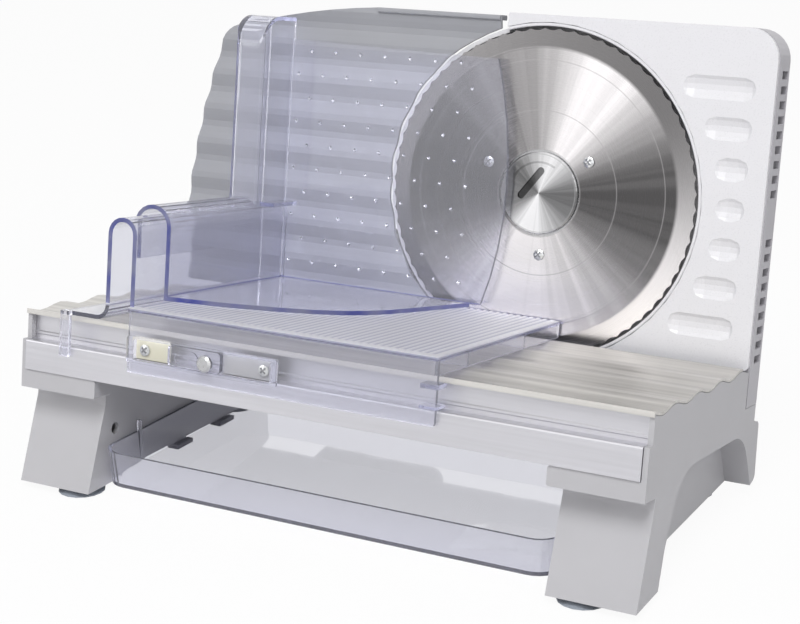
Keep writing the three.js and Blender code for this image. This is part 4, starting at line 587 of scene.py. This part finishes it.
CROSSED = ("blade_screw_1", "blade_screw_2", "blade_screw_3", "latch_screw_1", "latch_screw_2")


def paint(name, material):
    """Gives a node of the CAD its finish."""
    mesh = nodes[name].data
    mesh.materials.clear()
    mesh.materials.append(material)


for look, names in WORN_BY.items():
    for name in names:
        paint(name, finish[look])
for name in CROSSED:
    paint(name, crossed_screw(name + "_steel", name))


def add_solid(name, look, body, points, faces):
    """A closed solid of its own, given by (across, depth, up) from the blade's axis in the leaning frame."""
    mesh = bpy.data.meshes.new(name)
    mesh.from_pydata([MACHINE @ Vector((BLADE_AXIS.x + x, y, z)) for x, y, z in points], [], faces)
    shell = bmesh.new()
    shell.from_mesh(mesh)
    bmesh.ops.recalc_face_normals(shell, faces=shell.faces)
    shell.to_mesh(mesh)
    shell.free()
    mesh.materials.append(finish[look])
    made = bpy.data.objects.new(name, mesh)
    scene.collection.objects.link(made)
    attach(made, body)


# The panel's rim: its radii, its depths behind the teeth, its soft corners and the angles of its ends.
LIP_INNER = 0.0961
LIP_OUTER = 0.0979
LIP_FRONT = -0.0012
LIP_BACK = 0.0021
LIP_SOFT = 0.0004
LIP_START = math.radians(-122)
LIP_END = math.radians(106)
LIP_STEPS = 152


def add_lip():
    """The panel's rim round the blade, with a fine groove outside it."""
    section = (
        (LIP_INNER, LIP_BACK),
        (LIP_INNER, LIP_FRONT + LIP_SOFT),
        (LIP_INNER + LIP_SOFT, LIP_FRONT),
        (LIP_OUTER - LIP_SOFT, LIP_FRONT),
        (LIP_OUTER, LIP_FRONT + LIP_SOFT),
        (LIP_OUTER, LIP_BACK),
    )
    sides = len(section)
    points = []
    faces = [tuple(range(sides)), tuple(range(LIP_STEPS * sides, (LIP_STEPS + 1) * sides))]
    for step in range(LIP_STEPS + 1):
        angle = LIP_START + (LIP_END - LIP_START) * step / LIP_STEPS
        points += [(radius * math.cos(angle), depth, radius * math.sin(angle)) for radius, depth in section]
    for step in range(LIP_STEPS):
        for side in range(sides):
            here, there = step * sides + side, step * sides + (side + 1) % sides
            faces.append((here, there, there + sides, here + sides))
    add_solid("panel_lip", "panel", "base", points, faces)


# The carriage's side wall: across, depth and up of its low and high corner.
SIDE_LOW = (0.01815, -0.16035, -0.0823)
SIDE_HIGH = (0.0205, -0.0036, -0.07485)
BOX_FACES = [(0, 2, 3, 1), (4, 5, 7, 6), (0, 1, 5, 4), (2, 6, 7, 3), (0, 4, 6, 2), (1, 3, 7, 5)]


def add_side():
    """The clear wall below the right edge of the carriage's floor."""
    across, depth, up = zip(SIDE_LOW, SIDE_HIGH)
    points = [(x, y, z) for z in up for y in depth for x in across]
    add_solid("carriage_side", "clear", "carriage_unit", points, BOX_FACES)


add_lip()
add_side()

# Studio: a white floor that glows where it is seen, a white world and three lamps.
FLOOR_SIZE = 6
FLOOR_PARTS = 8
FLOOR_GAP = 0.0002
FLOOR_COLOR = (0.86, 0.86, 0.87)
FLOOR_MATT = 0.9
FLOOR_GLOW = 0.94
WORLD_LIGHT = 0.42
WORLD_SEEN = 1.0
LAMP_SIZE = 1.0
LAMPS = {
    "key": {"place": (0.5, -1.4, 2.1), "target": (0, 0, 0.10), "power": 34},
    "fill_left": {"place": (-1.6, -1.5, 1.0), "target": (0, 0, 0.12), "power": 7},
    "fill_right": {"place": (1.9, -0.9, 1.0), "target": (0, 0, 0.12), "power": 5},
}


def add_floor():
    """The white floor that the machine stands on."""
    grid = bmesh.new()
    bmesh.ops.create_grid(grid, x_segments=FLOOR_PARTS, y_segments=FLOOR_PARTS, size=FLOOR_SIZE)
    mesh = bpy.data.meshes.new("floor")
    grid.to_mesh(mesh)
    grid.free()
    floor = bpy.data.objects.new("floor", mesh)
    floor.location.z = -FLOOR_GAP
    scene.collection.objects.link(floor)
    made, graph, shader = new_material("floor_white", FLOOR_COLOR, FLOOR_MATT)
    _, seen = graph.straight_rays()
    glow = graph.add("ShaderNodeEmission")
    glow.inputs["Color"].default_value = WHITE
    glow.inputs["Strength"].default_value = 1.0
    share = graph.math("MULTIPLY", seen, FLOOR_GLOW)
    graph.mix_surfaces(share, shader.outputs[0], glow.outputs[0], made.node_tree.nodes["Material Output"])
    mesh.materials.append(made)


def add_lamp(name, place, target, power):
    """A square lamp at a place, turned to a target."""
    data = bpy.data.lights.new(name, "AREA")
    data.shape = "RECTANGLE"
    data.size = data.size_y = LAMP_SIZE
    data.energy = power
    lamp = bpy.data.objects.new(name, data)
    scene.collection.objects.link(lamp)
    aim = Vector(target) - Vector(place)
    lamp.matrix_world = Matrix.Translation(place) @ aim.to_track_quat("-Z", "Y").to_matrix().to_4x4()


def add_world():
    """A soft light from all round, which is white where it is seen, also in reflections."""
    world = bpy.data.worlds.new("studio")
    scene.world = world
    world.use_nodes = True
    graph = Graph(world.node_tree)
    plain = world.node_tree.nodes["Background"]
    white = graph.add("ShaderNodeBackground")
    for light, strength in ((plain, WORLD_LIGHT), (white, WORLD_SEEN)):
        light.inputs["Color"].default_value = WHITE
        light.inputs["Strength"].default_value = strength
    path, seen = graph.straight_rays()
    seen = graph.math("MAXIMUM", seen, path.outputs["Is Glossy Ray"])
    graph.mix_surfaces(seen, plain.outputs[0], white.outputs[0], world.node_tree.nodes["World Output"])


add_floor()
add_world()
for name, lamp in LAMPS.items():
    add_lamp(name, **lamp)

scene.view_settings.view_transform = "Standard"
